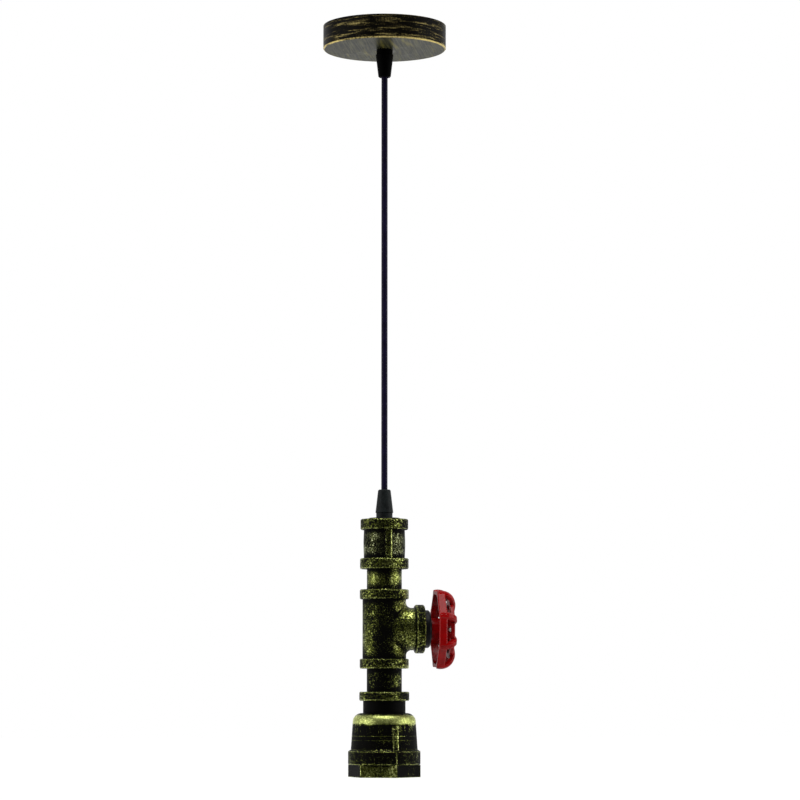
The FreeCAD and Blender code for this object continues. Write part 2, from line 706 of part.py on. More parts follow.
def bell_rib():
    """Raised rib down the bell's side, above a corner of the hexagon."""
    rise = BELL_RIB_RISE
    low = bell_height(BELL_RING_TOP) - 1
    return rib(BELL_RIB_WIDTH, BELL_HEX_AZIMUTH,
               [(BELL_SHOULDER_RADIUS - rise, bell_height(BELL_RIB_TOP)),
                (skirt_radius(BELL_RIB_TOP) + rise, bell_height(BELL_RIB_TOP) - 2 * rise),
                (BELL_SKIRT_RADIUS + rise, low), (BELL_SHOULDER_RADIUS - rise, low)])


def bell_seam():
    """Thin casting seam that carries the rib's line over the ring."""
    rise = BELL_SEAM_RISE
    return rib(BELL_SEAM_WIDTH, BELL_HEX_AZIMUTH,
               [(BELL_SHOULDER_RADIUS, bell_height(BELL_RING_TOP)),
                (BELL_RING_RADIUS + rise, bell_height(BELL_RING_TOP) - BELL_RING_SLOPE),
                (BELL_RING_RADIUS + rise, bell_height(BELL_RING_BOTTOM)),
                (BELL_SHOULDER_RADIUS, bell_height(BELL_RING_BOTTOM))])


def bell_hollow():
    wall = BELL_WALL
    step = bell_height(BELL_RING_TOP)
    shoulder = BELL_SHOULDER_RADIUS - wall
    return turned([(0, BELL_TOP + 1), (FEMALE_THREAD_RADIUS, BELL_TOP + 1),
                   (FEMALE_THREAD_RADIUS, BELL_LEDGE), (BELL_LEDGE_BORE, BELL_LEDGE),
                   (BELL_LEDGE_BORE, BELL_CEILING), (BELL_NECK_RADIUS - wall / 2, BELL_CEILING),
                   (shoulder, bell_height(BELL_NECK_BOTTOM + BELL_SHOULDER_ROUND) - wall / 2),
                   (BELL_SKIRT_RADIUS - wall, step), (BELL_MOUTH_RADIUS, step - wall / 2),
                   (BELL_MOUTH_RADIUS, BELL_BOTTOM - 1), (0, BELL_BOTTOM - 1)])


# Lampholder and what clamps it

def clamp_washer():
    return ring(THREAD_TUBE_RADIUS + RUNNING_FIT, CLAMP_WASHER_RADIUS, BELL_LEDGE,
                BELL_LEDGE + CLAMP_WASHER_THICKNESS)


def holder_nut():
    low = BELL_LEDGE + CLAMP_WASHER_THICKNESS
    return nut(NUT_FLATS, THREAD_TUBE_RADIUS, low, low + NUT_THICKNESS)


def holder_plate():
    return ring(THREAD_TUBE_RADIUS + RUNNING_FIT, HOLDER_PLATE_RADIUS, HOLDER_TOP, BELL_CEILING)


def holder_nipple():
    return ring(THREAD_TUBE_BORE, THREAD_TUBE_RADIUS, HOLDER_TOP - HOLDER_ENTRY_DEPTH + 1, HOLDER_TUBE_TOP)


def holder_cap():
    top = HOLDER_TOP
    wall = HOLDER_WALL
    entry = THREAD_TUBE_RADIUS + RUNNING_FIT
    neck = HOLDER_NECK_RADIUS
    low = top - HOLDER_CAP_LENGTH
    dome = top - HOLDER_NECK_HEIGHT
    inside = top - HOLDER_ENTRY_DEPTH
    outer = HOLDER_RADIUS
    slope = dome - HOLDER_DOME_SLOPE
    return turned([(entry, top), (neck, top), (neck, dome), (outer, slope, HOLDER_DOME_BEVEL, BEVEL),
                   (outer, low), (outer - wall, low), (outer - wall, inside - HOLDER_CEILING_DROP),
                   (outer - wall - HOLDER_CEILING_RUN, inside), (entry, inside)])


def holder_body():
    high = HOLDER_TOP - HOLDER_CAP_LENGTH
    low = HOLDER_TOP - HOLDER_LENGTH
    inner = HOLDER_RADIUS - HOLDER_WALL
    lip = low + HOLDER_LIP_THICKNESS
    return turned([(inner, high), (HOLDER_RADIUS, high), (HOLDER_RADIUS, low, HOLDER_RIM_BEVEL, BEVEL),
                   (HOLDER_LIP_BORE, low), (HOLDER_LIP_BORE, lip), (inner, lip)])


def core_low():
    return HOLDER_TOP - CORE_DISC_TOP - CORE_DISC_THICKNESS


def boss_low():
    return core_low() - CORE_BOSS_HEIGHT


def holder_core():
    top = HOLDER_TOP - CORE_DISC_TOP
    radius = HOLDER_RADIUS - HOLDER_WALL - LOOSE_FIT
    disc = turned([(0, top), (radius, top), (radius, core_low()), (CORE_BOSS_RADIUS, core_low()),
                   (CORE_BOSS_RADIUS, boss_low()), (CORE_BOSS_BORE, boss_low()),
                   (CORE_BOSS_BORE, core_low()), (0, core_low())])
    for side in (-1, 1):
        hole = rod(HOLDER_SCREW_RADIUS + RUNNING_FIT, top - HOLDER_SCREW_DEPTH - 0.5, top + 1)
        hole.translate(Vector(side * HOLDER_SCREW_PLACE, 0, 0))
        disc = disc.cut(hole)
    return disc


def holder_screws():
    top = HOLDER_TOP - CORE_DISC_TOP
    screws = []
    for side in (-1, 1):
        head = rod(HOLDER_SCREW_HEAD, top, top + HOLDER_SCREW_HEAD_HEIGHT)
        screw = head.fuse(rod(HOLDER_SCREW_RADIUS, top - HOLDER_SCREW_DEPTH, top)).removeSplitter()
        screw.translate(Vector(side * HOLDER_SCREW_PLACE, 0, 0))
        screws.append(screw)
    return Part.makeCompound(screws)


def screw_shell():
    top = boss_low()
    low = top - SOCKET_LENGTH
    outer = SOCKET_BORE + SOCKET_WALL
    return turned([(CORE_BOSS_BORE, top), (outer, top), (outer, low), (SOCKET_BORE, low),
                   (SOCKET_BORE, top - SOCKET_WALL), (CORE_BOSS_BORE, top - SOCKET_WALL)])


def centre_contact():
    """Sprung tongue that meets the tip of the lamp's cap."""
    seat = core_low()
    half = CONTACT_HALF_LENGTH
    thick = CONTACT_THICKNESS
    drop = seat - CONTACT_LIFT
    profile = [(-half, seat), (-half, seat - thick), (-half / 3, seat - thick), (half / 2, drop - thick),
               (half, drop - thick), (half, drop), (half / 2, drop), (-half / 3, seat)]
    strip = Part.Face(outline(profile)).extrude(Vector(0, CONTACT_WIDTH, 0))
    strip.translate(Vector(0, -CONTACT_WIDTH / 2, 0))
    return strip


# Switch in the branch, built about Z with the height measured from the run's axis

def switch_bush():
    neck = THREAD_TUBE_RADIUS + RUNNING_FIT
    well = BUSH_FRONT - BUSH_WELL_DEPTH
    form = turned([(neck, BUSH_BACK), (PIPE_RADIUS, BUSH_BACK), (PIPE_RADIUS, TEE_BRANCH_REACH),
                   (BUSH_COLLAR_RADIUS, TEE_BRANCH_REACH),
                   (BUSH_COLLAR_RADIUS, BUSH_FRONT, BUSH_COLLAR_BEVEL, BEVEL),
                   (BUSH_WELL_RADIUS, BUSH_FRONT), (BUSH_WELL_RADIUS, well), (neck, well)])
    return on_branch(form)


def switch_body():
    back = BUSH_BACK - SWITCH_LENGTH
    bore = SPINDLE_RADIUS + RUNNING_FIT
    front = BUSH_FRONT - BUSH_WELL_DEPTH + SWITCH_NUT_THICKNESS
    form = turned([(0, back), (SWITCH_RADIUS, back, SWITCH_EDGE_BEVEL, BEVEL), (SWITCH_RADIUS, BUSH_BACK),
                   (THREAD_TUBE_RADIUS, BUSH_BACK), (THREAD_TUBE_RADIUS, front), (bore, front),
                   (bore, BUSH_BACK - SPINDLE_SEAT), (0, BUSH_BACK - SPINDLE_SEAT)])
    return on_branch(form)


def switch_nut():
    low = BUSH_FRONT - BUSH_WELL_DEPTH
    return on_branch(nut(NUT_FLATS, THREAD_TUBE_RADIUS, low, low + SWITCH_NUT_THICKNESS))


def switch_posts():
    back = BUSH_BACK - SWITCH_LENGTH
    half = SWITCH_POST_SIZE / 2
    posts = []
    for side in (-1, 1):
        centre = TEE_CENTRE + side * SWITCH_POST_OFFSET
        posts.append(block(back - SWITCH_POST_SIZE, back, SWITCH_POST_SIDE - half, SWITCH_POST_SIDE + half,
                           centre - half, centre + half))
    return Part.makeCompound(posts)


def post_place(side):
    """Outer end of a switch terminal, where its core is clamped."""
    back = BUSH_BACK - SWITCH_LENGTH
    height = TEE_CENTRE + side * (SWITCH_POST_OFFSET + SWITCH_POST_SIZE / 2)
    return Vector(back - SWITCH_POST_SIZE / 2, SWITCH_POST_SIDE, height)


def holder_route(side):
    """The last stretch of a core, down the threaded tube and on to its screw."""
    lane = side * (CORE_RADIUS + LOOSE_FIT)
    place = side * HOLDER_SCREW_PLACE
    screw_top = HOLDER_TOP - CORE_DISC_TOP + HOLDER_SCREW_HEAD_HEIGHT
    inside = HOLDER_TOP - HOLDER_ENTRY_DEPTH - CORE_DIAMETER
    return [Vector(lane, 0, HOLDER_TUBE_TOP + 2 * CORE_DIAMETER), Vector(lane, 0, inside),
            Vector(place, 0, screw_top + CORE_DIAMETER), Vector(place, 0, screw_top)]


def below(place, drop):
    return Vector(place.x, place.y, place.z - drop)


def lamp_live_core():
    start = core_start("live", LAMP_SHEATH_BOTTOM)
    end = post_place(1)
    return mitred_tube([start, below(start, CORE_LEAD), below(end, -CORE_LEAD), end], CORE_RADIUS)


def switched_core():
    start = post_place(-1)
    return mitred_tube([start, below(start, CORE_LEAD)] + holder_route(1), CORE_RADIUS)


def lamp_neutral_core():
    """The core that passes the switch on the side away from the wheel."""
    start = core_start("neutral", LAMP_SHEATH_BOTTOM)
    lane = BUSH_BACK - SWITCH_LENGTH - SWITCH_POST_SIZE - CORE_STANDOFF
    turn = SWITCH_RADIUS + CORE_STANDOFF
    points = [start, below(start, CORE_LEAD), Vector(lane, start.y, TEE_CENTRE + turn),
              Vector(lane, start.y, TEE_CENTRE - turn)]
    return mitred_tube(points + holder_route(-1), CORE_RADIUS)


def lamp_earth_core():
    start = core_start("earth", LAMP_SHEATH_BOTTOM)
    end = Vector(0, EARTH_TAG_REACH - CORE_DIAMETER, PLUG_BOTTOM - EARTH_TAG_THICKNESS)
    low = start.z - CORE_LEAD
    points = [start, Vector(0, start.y, low), Vector(0, end.y, low), end]
    return mitred_tube(points, CORE_RADIUS)


# Valve wheel, built about Z with its back plane at z = 0

def scalloped_outline(corner_radius, scallop):
    """Eight-cornered outline with its sides bowed inwards."""
    step = 2 * math.pi / WHEEL_SPOKES
    side_radius = corner_radius * math.cos(step / 2) - scallop
    edges = []
    for index in range(WHEEL_SPOKES):
        angles = (step * index, step * (index + 0.5), step * (index + 1))
        radii = (corner_radius, side_radius, corner_radius)
        points = [Vector(radius * math.cos(angle), radius * math.sin(angle), 0)
                  for radius, angle in zip(radii, angles)]
        edges.append(Part.Arc(*points).toShape())
    return Part.Wire(edges)


def wheel_skirt():
    outer = Part.Face(scalloped_outline(WHEEL_CORNER_RADIUS, WHEEL_SCALLOP))
    outer = outer.extrude(Vector(0, 0, WHEEL_SKIRT_WIDTH))
    outer = outer.makeFillet(WHEEL_CORNER_ROUND, upright_edges(outer))
    inner = Part.Face(scalloped_outline(WHEEL_CORNER_RADIUS - WHEEL_SKIRT_WALL, WHEEL_SCALLOP))
    inner = inner.extrude(Vector(0, 0, WHEEL_SKIRT_WIDTH))
    skirt = outer.cut(inner)
    return skirt.makeChamfer(WHEEL_EDGE_BEVEL, outer_rim_edges(skirt))


def middle_of(edge):
    return edge.valueAt((edge.FirstParameter + edge.LastParameter) / 2)


def upright_edges(shape):
    return [edge for edge in shape.Edges
            if isinstance(edge.Curve, Part.Line) and abs(edge.tangentAt(edge.FirstParameter).z) > 0.99]


def outer_rim_edges(shape):
    """Edges round the outside of the skirt's two faces."""
    step = math.pi / WHEEL_SPOKES
    limit = WHEEL_CORNER_RADIUS * math.cos(step) - WHEEL_SCALLOP - WHEEL_SKIRT_WALL / 2
    chosen = []
    for edge in shape.Edges:
        middle = middle_of(edge)
        flat = abs(edge.tangentAt(edge.FirstParameter).z) < 0.01
        if flat and math.hypot(middle.x, middle.y) > limit:
            chosen.append(edge)
    return chosen


def spoke_section():
    """Upright face across the spoke at its crest, with its top corners bevelled."""
    half = WHEEL_SPOKE_WIDTH / 2
    top = WHEEL_CREST_HEIGHT
    low = top - WHEEL_SPOKE_DEPTH
    bevel = WHEEL_SPOKE_BEVEL
    corners = [(-half, low), (half, low), (half, top - bevel), (half - bevel, top),
               (bevel - half, top), (-half, top - bevel), (-half, low)]
    return Part.Face(Part.makePolygon([Vector(WHEEL_CREST_RADIUS, across, height)
                                       for across, height in corners]))


def swept_about(height, turn):
    """The spoke's section carried round an arc whose centre lies at a height under the crest."""
    return spoke_section().revolve(Vector(WHEEL_CREST_RADIUS, 0, height), Vector(0, 1, 0), turn)


def wheel_spoke():
    """Arched spoke along +X: up from behind the back plane, over the crest and down into the hub."""
    rise = swept_about(WHEEL_CREST_HEIGHT - WHEEL_ARCH_RADIUS, WHEEL_ARCH_TURN)
    run = WHEEL_CREST_RADIUS - WHEEL_HUB_FRONT_RADIUS + WHEEL_SPOKE_ROOT
    drop = WHEEL_CREST_HEIGHT - WHEEL_SPOKE_END
    radius = (run * run + drop * drop) / (2 * drop)
    fall = swept_about(WHEEL_CREST_HEIGHT - radius, -math.degrees(math.asin(run / radius)))
    reach = WHEEL_CORNER_RADIUS
    behind = block(0, 2 * reach, -reach, reach, -reach, 0)
    return rise.fuse(fall).removeSplitter().cut(behind)


def wheel_ring():
    bevel = (WHEEL_RING_BEVEL, BEVEL)
    return turned([(WHEEL_RING_INNER, WHEEL_RING_BACK), (WHEEL_RING_OUTER, WHEEL_RING_BACK),
                   (WHEEL_RING_OUTER, WHEEL_RING_FRONT) + bevel,
                   (WHEEL_RING_INNER, WHEEL_RING_FRONT) + bevel])


def wheel_hub():
    bore = SPINDLE_RADIUS + RUNNING_FIT
    hub = turned([(0, HUB_BACK), (WHEEL_HUB_RADIUS, HUB_BACK, WHEEL_EDGE_BEVEL, BEVEL),
                  (WHEEL_HUB_RADIUS, WHEEL_HUB_STEP),
                  (WHEEL_HUB_FRONT_RADIUS, WHEEL_HUB_FRONT, WHEEL_EDGE_BEVEL, BEVEL), (0, WHEEL_HUB_FRONT)])
    half = WHEEL_SQUARE / 2 + RUNNING_FIT
    square = block(-half, half, -half, half, WHEEL_SQUARE_START, WHEEL_HUB_FRONT + 1)
    return hub, rod(bore, HUB_BACK - 1, WHEEL_SQUARE_START).fuse(square)


def handwheel():
    wheel = wheel_skirt()
    spoke = wheel_spoke()
    hub, hole = wheel_hub()
    wheel = wheel.fuse([around_z(spoke, 360 * index / WHEEL_SPOKES) for index in range(WHEEL_SPOKES)]
                       + [wheel_ring(), hub])
    wheel = wheel.removeSplitter().cut(hole)
    return on_branch(around_z(wheel, 180 / WHEEL_SPOKES + WHEEL_TURN), WHEEL_BACK)


def spindle():
    square_start = WHEEL_BACK + WHEEL_SQUARE_START
    square_end = WHEEL_BACK + WHEEL_HUB_FRONT - FACE_GAP
    tip = (WHEEL_BACK + WHEEL_HUB_FRONT + WHEEL_WASHER_THICKNESS + WHEEL_NUT_THICKNESS
           + WHEEL_BOLT_OVERRUN)
    half = WHEEL_SQUARE / 2
    shaft = rod(SPINDLE_RADIUS, BUSH_BACK - SPINDLE_SEAT + FACE_GAP, square_start)
    square = around_z(block(-half, half, -half, half, square_start, square_end),
                      180 / WHEEL_SPOKES + WHEEL_TURN)
    bolt = rod(WHEEL_BOLT_RADIUS, square_end, tip)
    return on_branch(shaft.fuse([square, bolt]).removeSplitter())


def wheel_washer():
    low = WHEEL_BACK + WHEEL_HUB_FRONT
    return on_branch(ring(WHEEL_BOLT_RADIUS + RUNNING_FIT, WHEEL_WASHER_RADIUS, low,
                          low + WHEEL_WASHER_THICKNESS))


def wheel_nut():
    """Hexagon nut with its front corners turned off."""
    low = WHEEL_BACK + WHEEL_HUB_FRONT + WHEEL_WASHER_THICKNESS
    high = low + WHEEL_NUT_THICKNESS
    corner = WHEEL_NUT_FLATS / math.sqrt(3)
    turned_off = corner - WHEEL_NUT_FLATS / 2
    limit = turned([(0, low), (corner, low), (corner, high - turned_off), (WHEEL_NUT_FLATS / 2, high),
                    (0, high)])
    return on_branch(nut(WHEEL_NUT_FLATS, WHEEL_BOLT_RADIUS, low, high).common(limit))


PIECES = {
    "ceiling_canopy": ceiling_canopy,
    "mounting_bracket": mounting_bracket,
    "bracket_earth_screw": earth_screw,
    "ceiling_nipple": ceiling_nipple,
    "ceiling_nuts": ceiling_nuts,
    "terminal_block": terminal_block,
    "terminal_sleeves": terminal_sleeves,
    "terminal_screws": terminal_screws,
    "ceiling_neutral_core": lambda: ceiling_core("neutral", 0),
    "ceiling_earth_core": lambda: ceiling_core("earth", 1),
    "ceiling_live_core": lambda: ceiling_core("live", 2),
    "canopy_grip_base": lambda: hung_grip(grip_base_form()),
    "canopy_grip_cap": lambda: hung_grip(grip_cap_form()),
    "cord_ceiling_tail": cord_ceiling_tail,
    "cord_neck": cord_neck,
    "cord": cord,
    "lamp_grip_cap": lambda: lifted(grip_cap_form(), PLUG_TOP),
    "lamp_grip_base": lambda: lifted(grip_base_form(), PLUG_TOP),
    "cord_lamp_tail": cord_lamp_tail,
    "lamp_nipple": lamp_nipple,
    "top_plug": top_plug,
    "lamp_earth_tag": earth_tag,
    "plug_nut": plug_nut,
    "coupling": coupling,
    "upper_pipe": upper_nipple,
    "tee": tee,
    "lower_pipe": lower_nipple,
    "reducing_socket": reducing_socket,
    "clamp_washer": clamp_washer,
    "holder_nut": holder_nut,
    "holder_plate": holder_plate,
    "holder_nipple": holder_nipple,
    "holder_cap": holder_cap,
    "holder_body": holder_body,
    "holder_core": holder_core,
    "holder_screws": holder_screws,
    "screw_shell": screw_shell,
    "centre_contact": centre_contact,
    "switch_bush": switch_bush,
    "switch_body": switch_body,
    "switch_nut": switch_nut,
    "switch_posts": switch_posts,
    "lamp_live_core": lamp_live_core,
    "switched_core": switched_core,
    "lamp_neutral_core": lamp_neutral_core,
    "lamp_earth_core": lamp_earth_core,
    "handwheel": handwheel,
    "spindle": spindle,
    "wheel_washer": wheel_washer,
    "wheel_nut": wheel_nut,
}


def main():
    os.makedirs("parts", exist_ok=True)
    for name, build in PIECES.items():
        shape = build()
        print(name, "solids", len(shape.Solids), "valid", shape.isValid(), "volume", round(shape.Volume, 1))
        shape.exportStep("parts/" + name + ".step")


main()
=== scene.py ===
import bpy
import math
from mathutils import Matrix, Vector


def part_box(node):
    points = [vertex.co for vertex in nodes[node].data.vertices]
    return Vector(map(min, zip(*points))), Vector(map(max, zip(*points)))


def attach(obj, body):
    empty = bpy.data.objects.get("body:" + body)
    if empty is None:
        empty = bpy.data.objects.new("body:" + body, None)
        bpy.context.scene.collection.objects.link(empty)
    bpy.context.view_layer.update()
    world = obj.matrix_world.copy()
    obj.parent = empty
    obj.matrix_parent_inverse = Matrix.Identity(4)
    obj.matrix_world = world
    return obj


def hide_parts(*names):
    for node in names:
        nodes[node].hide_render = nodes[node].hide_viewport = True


# Pendant light of pipe fittings. Metres, with the ceiling as the plane z = 0 and the lamp on the Z axis.

# Cord
CORD_DIAMETER = 0.0061

# Canopy: size of its lower edge, fade of the rubbed rim, and reach and fade of the underside's look
CANOPY_EDGE = 0.001
RIM_FADE = 0.0004
UNDER_REACH = 0.00005
UNDER_FADE = 0.00002

# Fittings: radius past which their collars stand, and the width of the step up to it
COLLAR_RADIUS = 0.0222
COLLAR_STEP = 0.0006

# Coupling: height of each collar, radius of the body, and azimuth in degrees and half width of the rib
COUPLING_COLLAR = 0.0102
COUPLING_BODY_RADIUS = 0.0204
COUPLING_RIB_AZIMUTH = 5.5
COUPLING_RIB_HALF = 0.0031

# Tee: height of each collar, radius of the branch's neck, and where along X the branch's collar begins
TEE_COLLAR = 0.0094
NECK_RADIUS = 0.0204
BRANCH_COLLAR_START = 0.030

# Bell: how far below its top its parts lie, its rib, and the left and right end of its hexagon's front
BELL_COLLAR_DROP = 0.0087
BELL_NECK_DROP = 0.0204
BELL_SHOULDER_DROP = 0.0245
BELL_LINE_DROPS = (0.0422, 0.0462)
BELL_RING_TOP_DROP = 0.0552
BELL_RING_LOW_DROP = 0.0697
BELL_RIB_AZIMUTH = 13.5
BELL_RIB_HALF = 0.0028
HEX_LEFT = -0.0256
HEX_RIGHT = 0.0082

# Bands along X where the brass is heavier or lighter, the lit ones painted light and the shaded ones painted
# shade: low end, high end and width of the fade
TEE_NECK_BAND = (0.020, 0.028, 0.010)
TEE_LIT_BESIDE_BAND = (0.014, 0.022, 0.012)
TEE_SHADED_CROTCH_BAND = (0.011, 0.024, 0.006)
TEE_SHADED_FRONT_BAND = (-0.005, 0.003, 0.006)
# Pipe bands: painted light on its right and painted shade down the middle of its front
PIPE_LIT_RIGHT_BAND = (0.0055, 0.012, 0.003)
PIPE_SHADED_MIDDLE_BAND = (0.0, 0.0024, 0.002)

# Zones about a height or a radius of the fittings: low end and high end from it, and width of the fade
BRANCH_FADE = 0.006
BRANCH_LEVEL = (-0.012, 0.012, BRANCH_FADE)
# The crotch zone is painted shade in the groove round the branch, partly brass missing the groove
CROTCH_SHADE_ZONE = (0.0012, 0.0034, 0.001)
SHOULDER_BRASS_ZONE = (-0.0043, 0.0004, 0.0036)
SHOULDER_SMOOTH_ZONE = (-0.0047, 0.0007, 0.0025)
SHOULDER_STROKES_ZONE = (-0.013, -0.004, 0.004)
LINE_ZONE = (-0.0002, 0.0002, 0.0004)

# Reach of the painted shade next to a collar, width of a rib's border, margin round the hexagon's front
# flat, and how far in from its right end its corner's painted highlight begins
COLLAR_SHADE_REACH = 0.005
RIB_BORDER = 0.0004
HEX_MARGIN = 0.001
HEX_HIGHLIGHT_CORNER = 0.0045

# Steps in the fittings' finish: the value at which each begins and the one at which it is complete
OPEN_STEP = (0.80, 0.94)
GLINT_STEP = (0.46, 0.60)
BRASS_STEP = (1.54, 1.68)
WORN_STEP = (1.58, 1.80)

# Share of the flecks in the brass and its relief, how far the paint holds against the brass, how smooth the
# bell's shoulder is rubbed, and what a place rubbed smooth gains in bright brass and in roughness
FLECK_WEIGHT = 0.8
PAINT_HOLD = 0.27
SHOULDER_SMOOTHNESS = 0.74
POLISH_SHINE = 0.38
POLISH_ROUGHNESS = 0.28

# How well the rounded normal agrees with the plain one where an edge begins and where it counts fully
EDGE_AGREEMENT = (0.995, 0.86)

# Camera: in front of the object and a little to the left. Angles are in degrees, lens and sensor in mm
CAMERA_DISTANCE = 3.0
CAMERA_HEIGHT = -0.643
CAMERA_AZIMUTH = -6.5
CAMERA_TILT = 5.25
CAMERA_LENS = 139.9
CAMERA_SENSOR = 36.0
CAMERA_REACH = 200.0
CAMERA_SIDE = 0.0151

# Strength of the world on the camera's side and behind the object, and where along Y it changes
WORLD_FRONT = 0.01
WORLD_BACK = 0.4
BACKDROP_SPAN = (0.3, 0.8)
AMBIENT_SPAN = (-0.5, 0.8)

# Floor: its height, half its side, its own glow, and the stretch of Y over which mirrors begin to show it
FLOOR_HEIGHT = -1.7
FLOOR_HALF = 60.0
FLOOR_GLOW = 0.92
FLOOR_MIRROR_SPAN = (-0.2, 1.0)

# Lamps: place, the point aimed at, width, height, power in watts, and whether it shows as a highlight
LAMPS = {
    "left_softbox": ((-1.9, -0.35, -0.35), (0, 0, -0.5), 1.7, 2.0, 20, True),
    "right_softbox": ((1.9, -0.35, -0.35), (0, 0, -0.5), 1.7, 2.0, 23, True),
    "top_softbox": ((0, -0.4, 1.4), (0, 0, -0.6), 1.6, 1.5, 36, True),
    "front_fill": ((-0.3, -2.4, 0.4), (0, 0, -0.45), 1.6, 1.6, 20, False),
}

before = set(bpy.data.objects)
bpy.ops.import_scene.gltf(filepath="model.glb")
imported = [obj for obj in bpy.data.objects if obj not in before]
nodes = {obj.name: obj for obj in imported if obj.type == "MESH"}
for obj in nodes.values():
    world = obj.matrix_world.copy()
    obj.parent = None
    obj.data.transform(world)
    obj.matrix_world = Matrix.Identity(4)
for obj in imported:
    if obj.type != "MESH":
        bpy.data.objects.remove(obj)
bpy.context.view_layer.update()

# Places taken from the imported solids
CANOPY_LOW, CANOPY_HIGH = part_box("ceiling_canopy")
CANOPY_FLOOR = CANOPY_LOW[2]
CANOPY_RADIUS = CANOPY_HIGH[0]
NECK_LOW, NECK_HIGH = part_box("cord_neck")
CORD_TOP = (NECK_LOW[2] + NECK_HIGH[2]) / 2
CORD_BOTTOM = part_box("cord")[0][2]
BELL_BOTTOM, BELL_TOP = (corner[2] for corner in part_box("reducing_socket"))
COUPLING_BOTTOM, COUPLING_TOP = (corner[2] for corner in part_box("coupling"))
TEE_BOTTOM, TEE_TOP = (corner[2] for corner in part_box("tee"))
BRANCH_HEIGHT = sum(corner[2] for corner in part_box("handwheel")) / 2
BELL_SHOULDER = BELL_TOP - BELL_SHOULDER_DROP
BELL_RING_TOP = BELL_TOP - BELL_RING_TOP_DROP
BELL_RING_LOW = BELL_TOP - BELL_RING_LOW_DROP


# Shader helpers

def new_material(name):
    material = bpy.data.materials.new(name)
    material.use_nodes = True
    tree = material.node_tree
    tree.nodes.clear()
    return material, tree


def put(tree, kind, inputs=None, **settings):
    """New node with its settings and inputs; an input is a value or another node's output."""
    made = tree.nodes.new("ShaderNode" + kind)
    for name, value in settings.items():
        setattr(made, name, value)
    for name, value in (inputs or {}).items():
        if isinstance(value, bpy.types.NodeSocket):
            tree.links.new(value, made.inputs[name])
        else:
            made.inputs[name].default_value = value
    return made


def colour(red, green, blue):
    """Display colour from 0 to 255 as a linear shader colour."""
    linear = []
    for value in (red, green, blue):
        part = value / 255
        linear.append(part / 12.92 if part <= 0.04045 else ((part + 0.055) / 1.055) ** 2.4)
    return (*linear, 1.0)


def math_node(tree, operation, first, second=0.0, clamp=False):
    return put(tree, "Math", {0: first, 1: second}, operation=operation, use_clamp=clamp).outputs[0]


def times(tree, first, second):
    return math_node(tree, "MULTIPLY", first, second)


def add_up(tree, *values):
    total = values[0]
    for value in values[1:]:
        total = math_node(tree, "ADD", total, value)
    return total


def weighted(tree, *pairs):
    """Sum of shares, each times the weight it is paired with."""
    return add_up(tree, *(times(tree, share, weight) for share, weight in pairs))


def ranged(tree, value, low, high, start=0.0, end=1.0):
    """low where value is start, changing evenly to high where it is end, and no further."""
    return put(tree, "MapRange", {"Value": value, "From Min": start, "From Max": end,
                                  "To Min": low, "To Max": high}).outputs[0]


def between(tree, value, low, high, soft):
    """1 where value lies between low and high, falling to 0 over soft on both sides."""
    up = ranged(tree, value, 0.0, 1.0, low - soft, low)
    down = ranged(tree, value, 1.0, 0.0, high, high + soft)
    return times(tree, up, down)


def about(tree, value, middle, zone):
    """1 in a zone about a middle; the zone is its low and high end from the middle and its fade."""
    low, high, soft = zone
    return between(tree, value, middle + low, middle + high, soft)


def stepped(tree, value, low, high):
    """0 up to low and 1 from high on, with a smooth step between them."""
    return put(tree, "MapRange", {"Value": value, "From Min": low, "From Max": high},
               interpolation_type="SMOOTHSTEP").outputs[0]


def blend_colour(tree, share, first, second):
    return put(tree, "Mix", {0: share, 6: first, 7: second}, data_type="RGBA").outputs[2]


def noise(tree, vector, scale, detail=3.0, roughness=0.6, distortion=0.0):
    return put(tree, "TexNoise", {"Vector": vector, "Scale": scale, "Detail": detail,
                                  "Roughness": roughness, "Distortion": distortion}).outputs[0]


def object_place(tree):
    return put(tree, "TexCoord").outputs["Object"]


def stretched(tree, vector, scale, turn=0.0):
    return put(tree, "Mapping", {"Vector": vector, "Rotation": (0, 0, math.radians(turn)),
                                 "Scale": scale}).outputs[0]


def streaked(tree, place, scale, detail=3.0, roughness=0.6, distortion=0.0):
    """Noise drawn out into streaks by its own scale along each axis."""
    return noise(tree, stretched(tree, place, scale), 1.0, detail, roughness, distortion)


def axes_of(tree, place):
    """The three outputs along, ahead and height of a place."""
    return put(tree, "SeparateXYZ", {0: place}).outputs


def length_across(tree, place, axes):
    """Distance from the origin, counting only the axes that are given as 1."""
    flat = put(tree, "VectorMath", {0: place, 1: axes}, operation="MULTIPLY").outputs[0]
    return put(tree, "VectorMath", {0: flat}, operation="LENGTH").outputs["Value"]


def axis_distance(tree, place):
    return length_across(tree, place, (1, 1, 0))


def in_front(tree, ahead):
    """1 on the front half of the object."""
    return math_node(tree, "LESS_THAN", ahead, 0.0)


def soft_edges(tree, radius):
    return put(tree, "Bevel", {"Radius": radius}, samples=4).outputs[0]


def edge_share(tree, radius):
    """0 on flats and near 1 where the surface turns within a radius."""
    plain = put(tree, "NewGeometry").outputs["Normal"]
    agreement = put(tree, "VectorMath", {0: soft_edges(tree, radius), 1: plain},
                    operation="DOT_PRODUCT").outputs["Value"]
    return ranged(tree, agreement, 0.0, 1.0, *EDGE_AGREEMENT)


def openness(tree, distance):
    """1 in the open, lower in corners and grooves."""
    return put(tree, "AmbientOcclusion", {"Distance": distance}, samples=4).outputs["AO"]


def finish_surface(tree, base, roughness, relief, depth, edge=0.0, **others):
    """Principled surface with a relief of some depth, and edges rounded by a radius."""
    raised = {"Height": relief, "Distance": depth, "Strength": 1.0}
    if edge:
        raised["Normal"] = soft_edges(tree, edge)
    inputs = {name.replace("_", " "): value for name, value in others.items()}
    inputs["Base Color"] = base
    inputs["Roughness"] = roughness
    inputs["Normal"] = put(tree, "Bump", raised).outputs[0]
    shader = put(tree, "BsdfPrincipled", inputs)
    put(tree, "OutputMaterial", {"Surface": shader.outputs[0]})


# Fittings: black paint, dry-brushed with brass

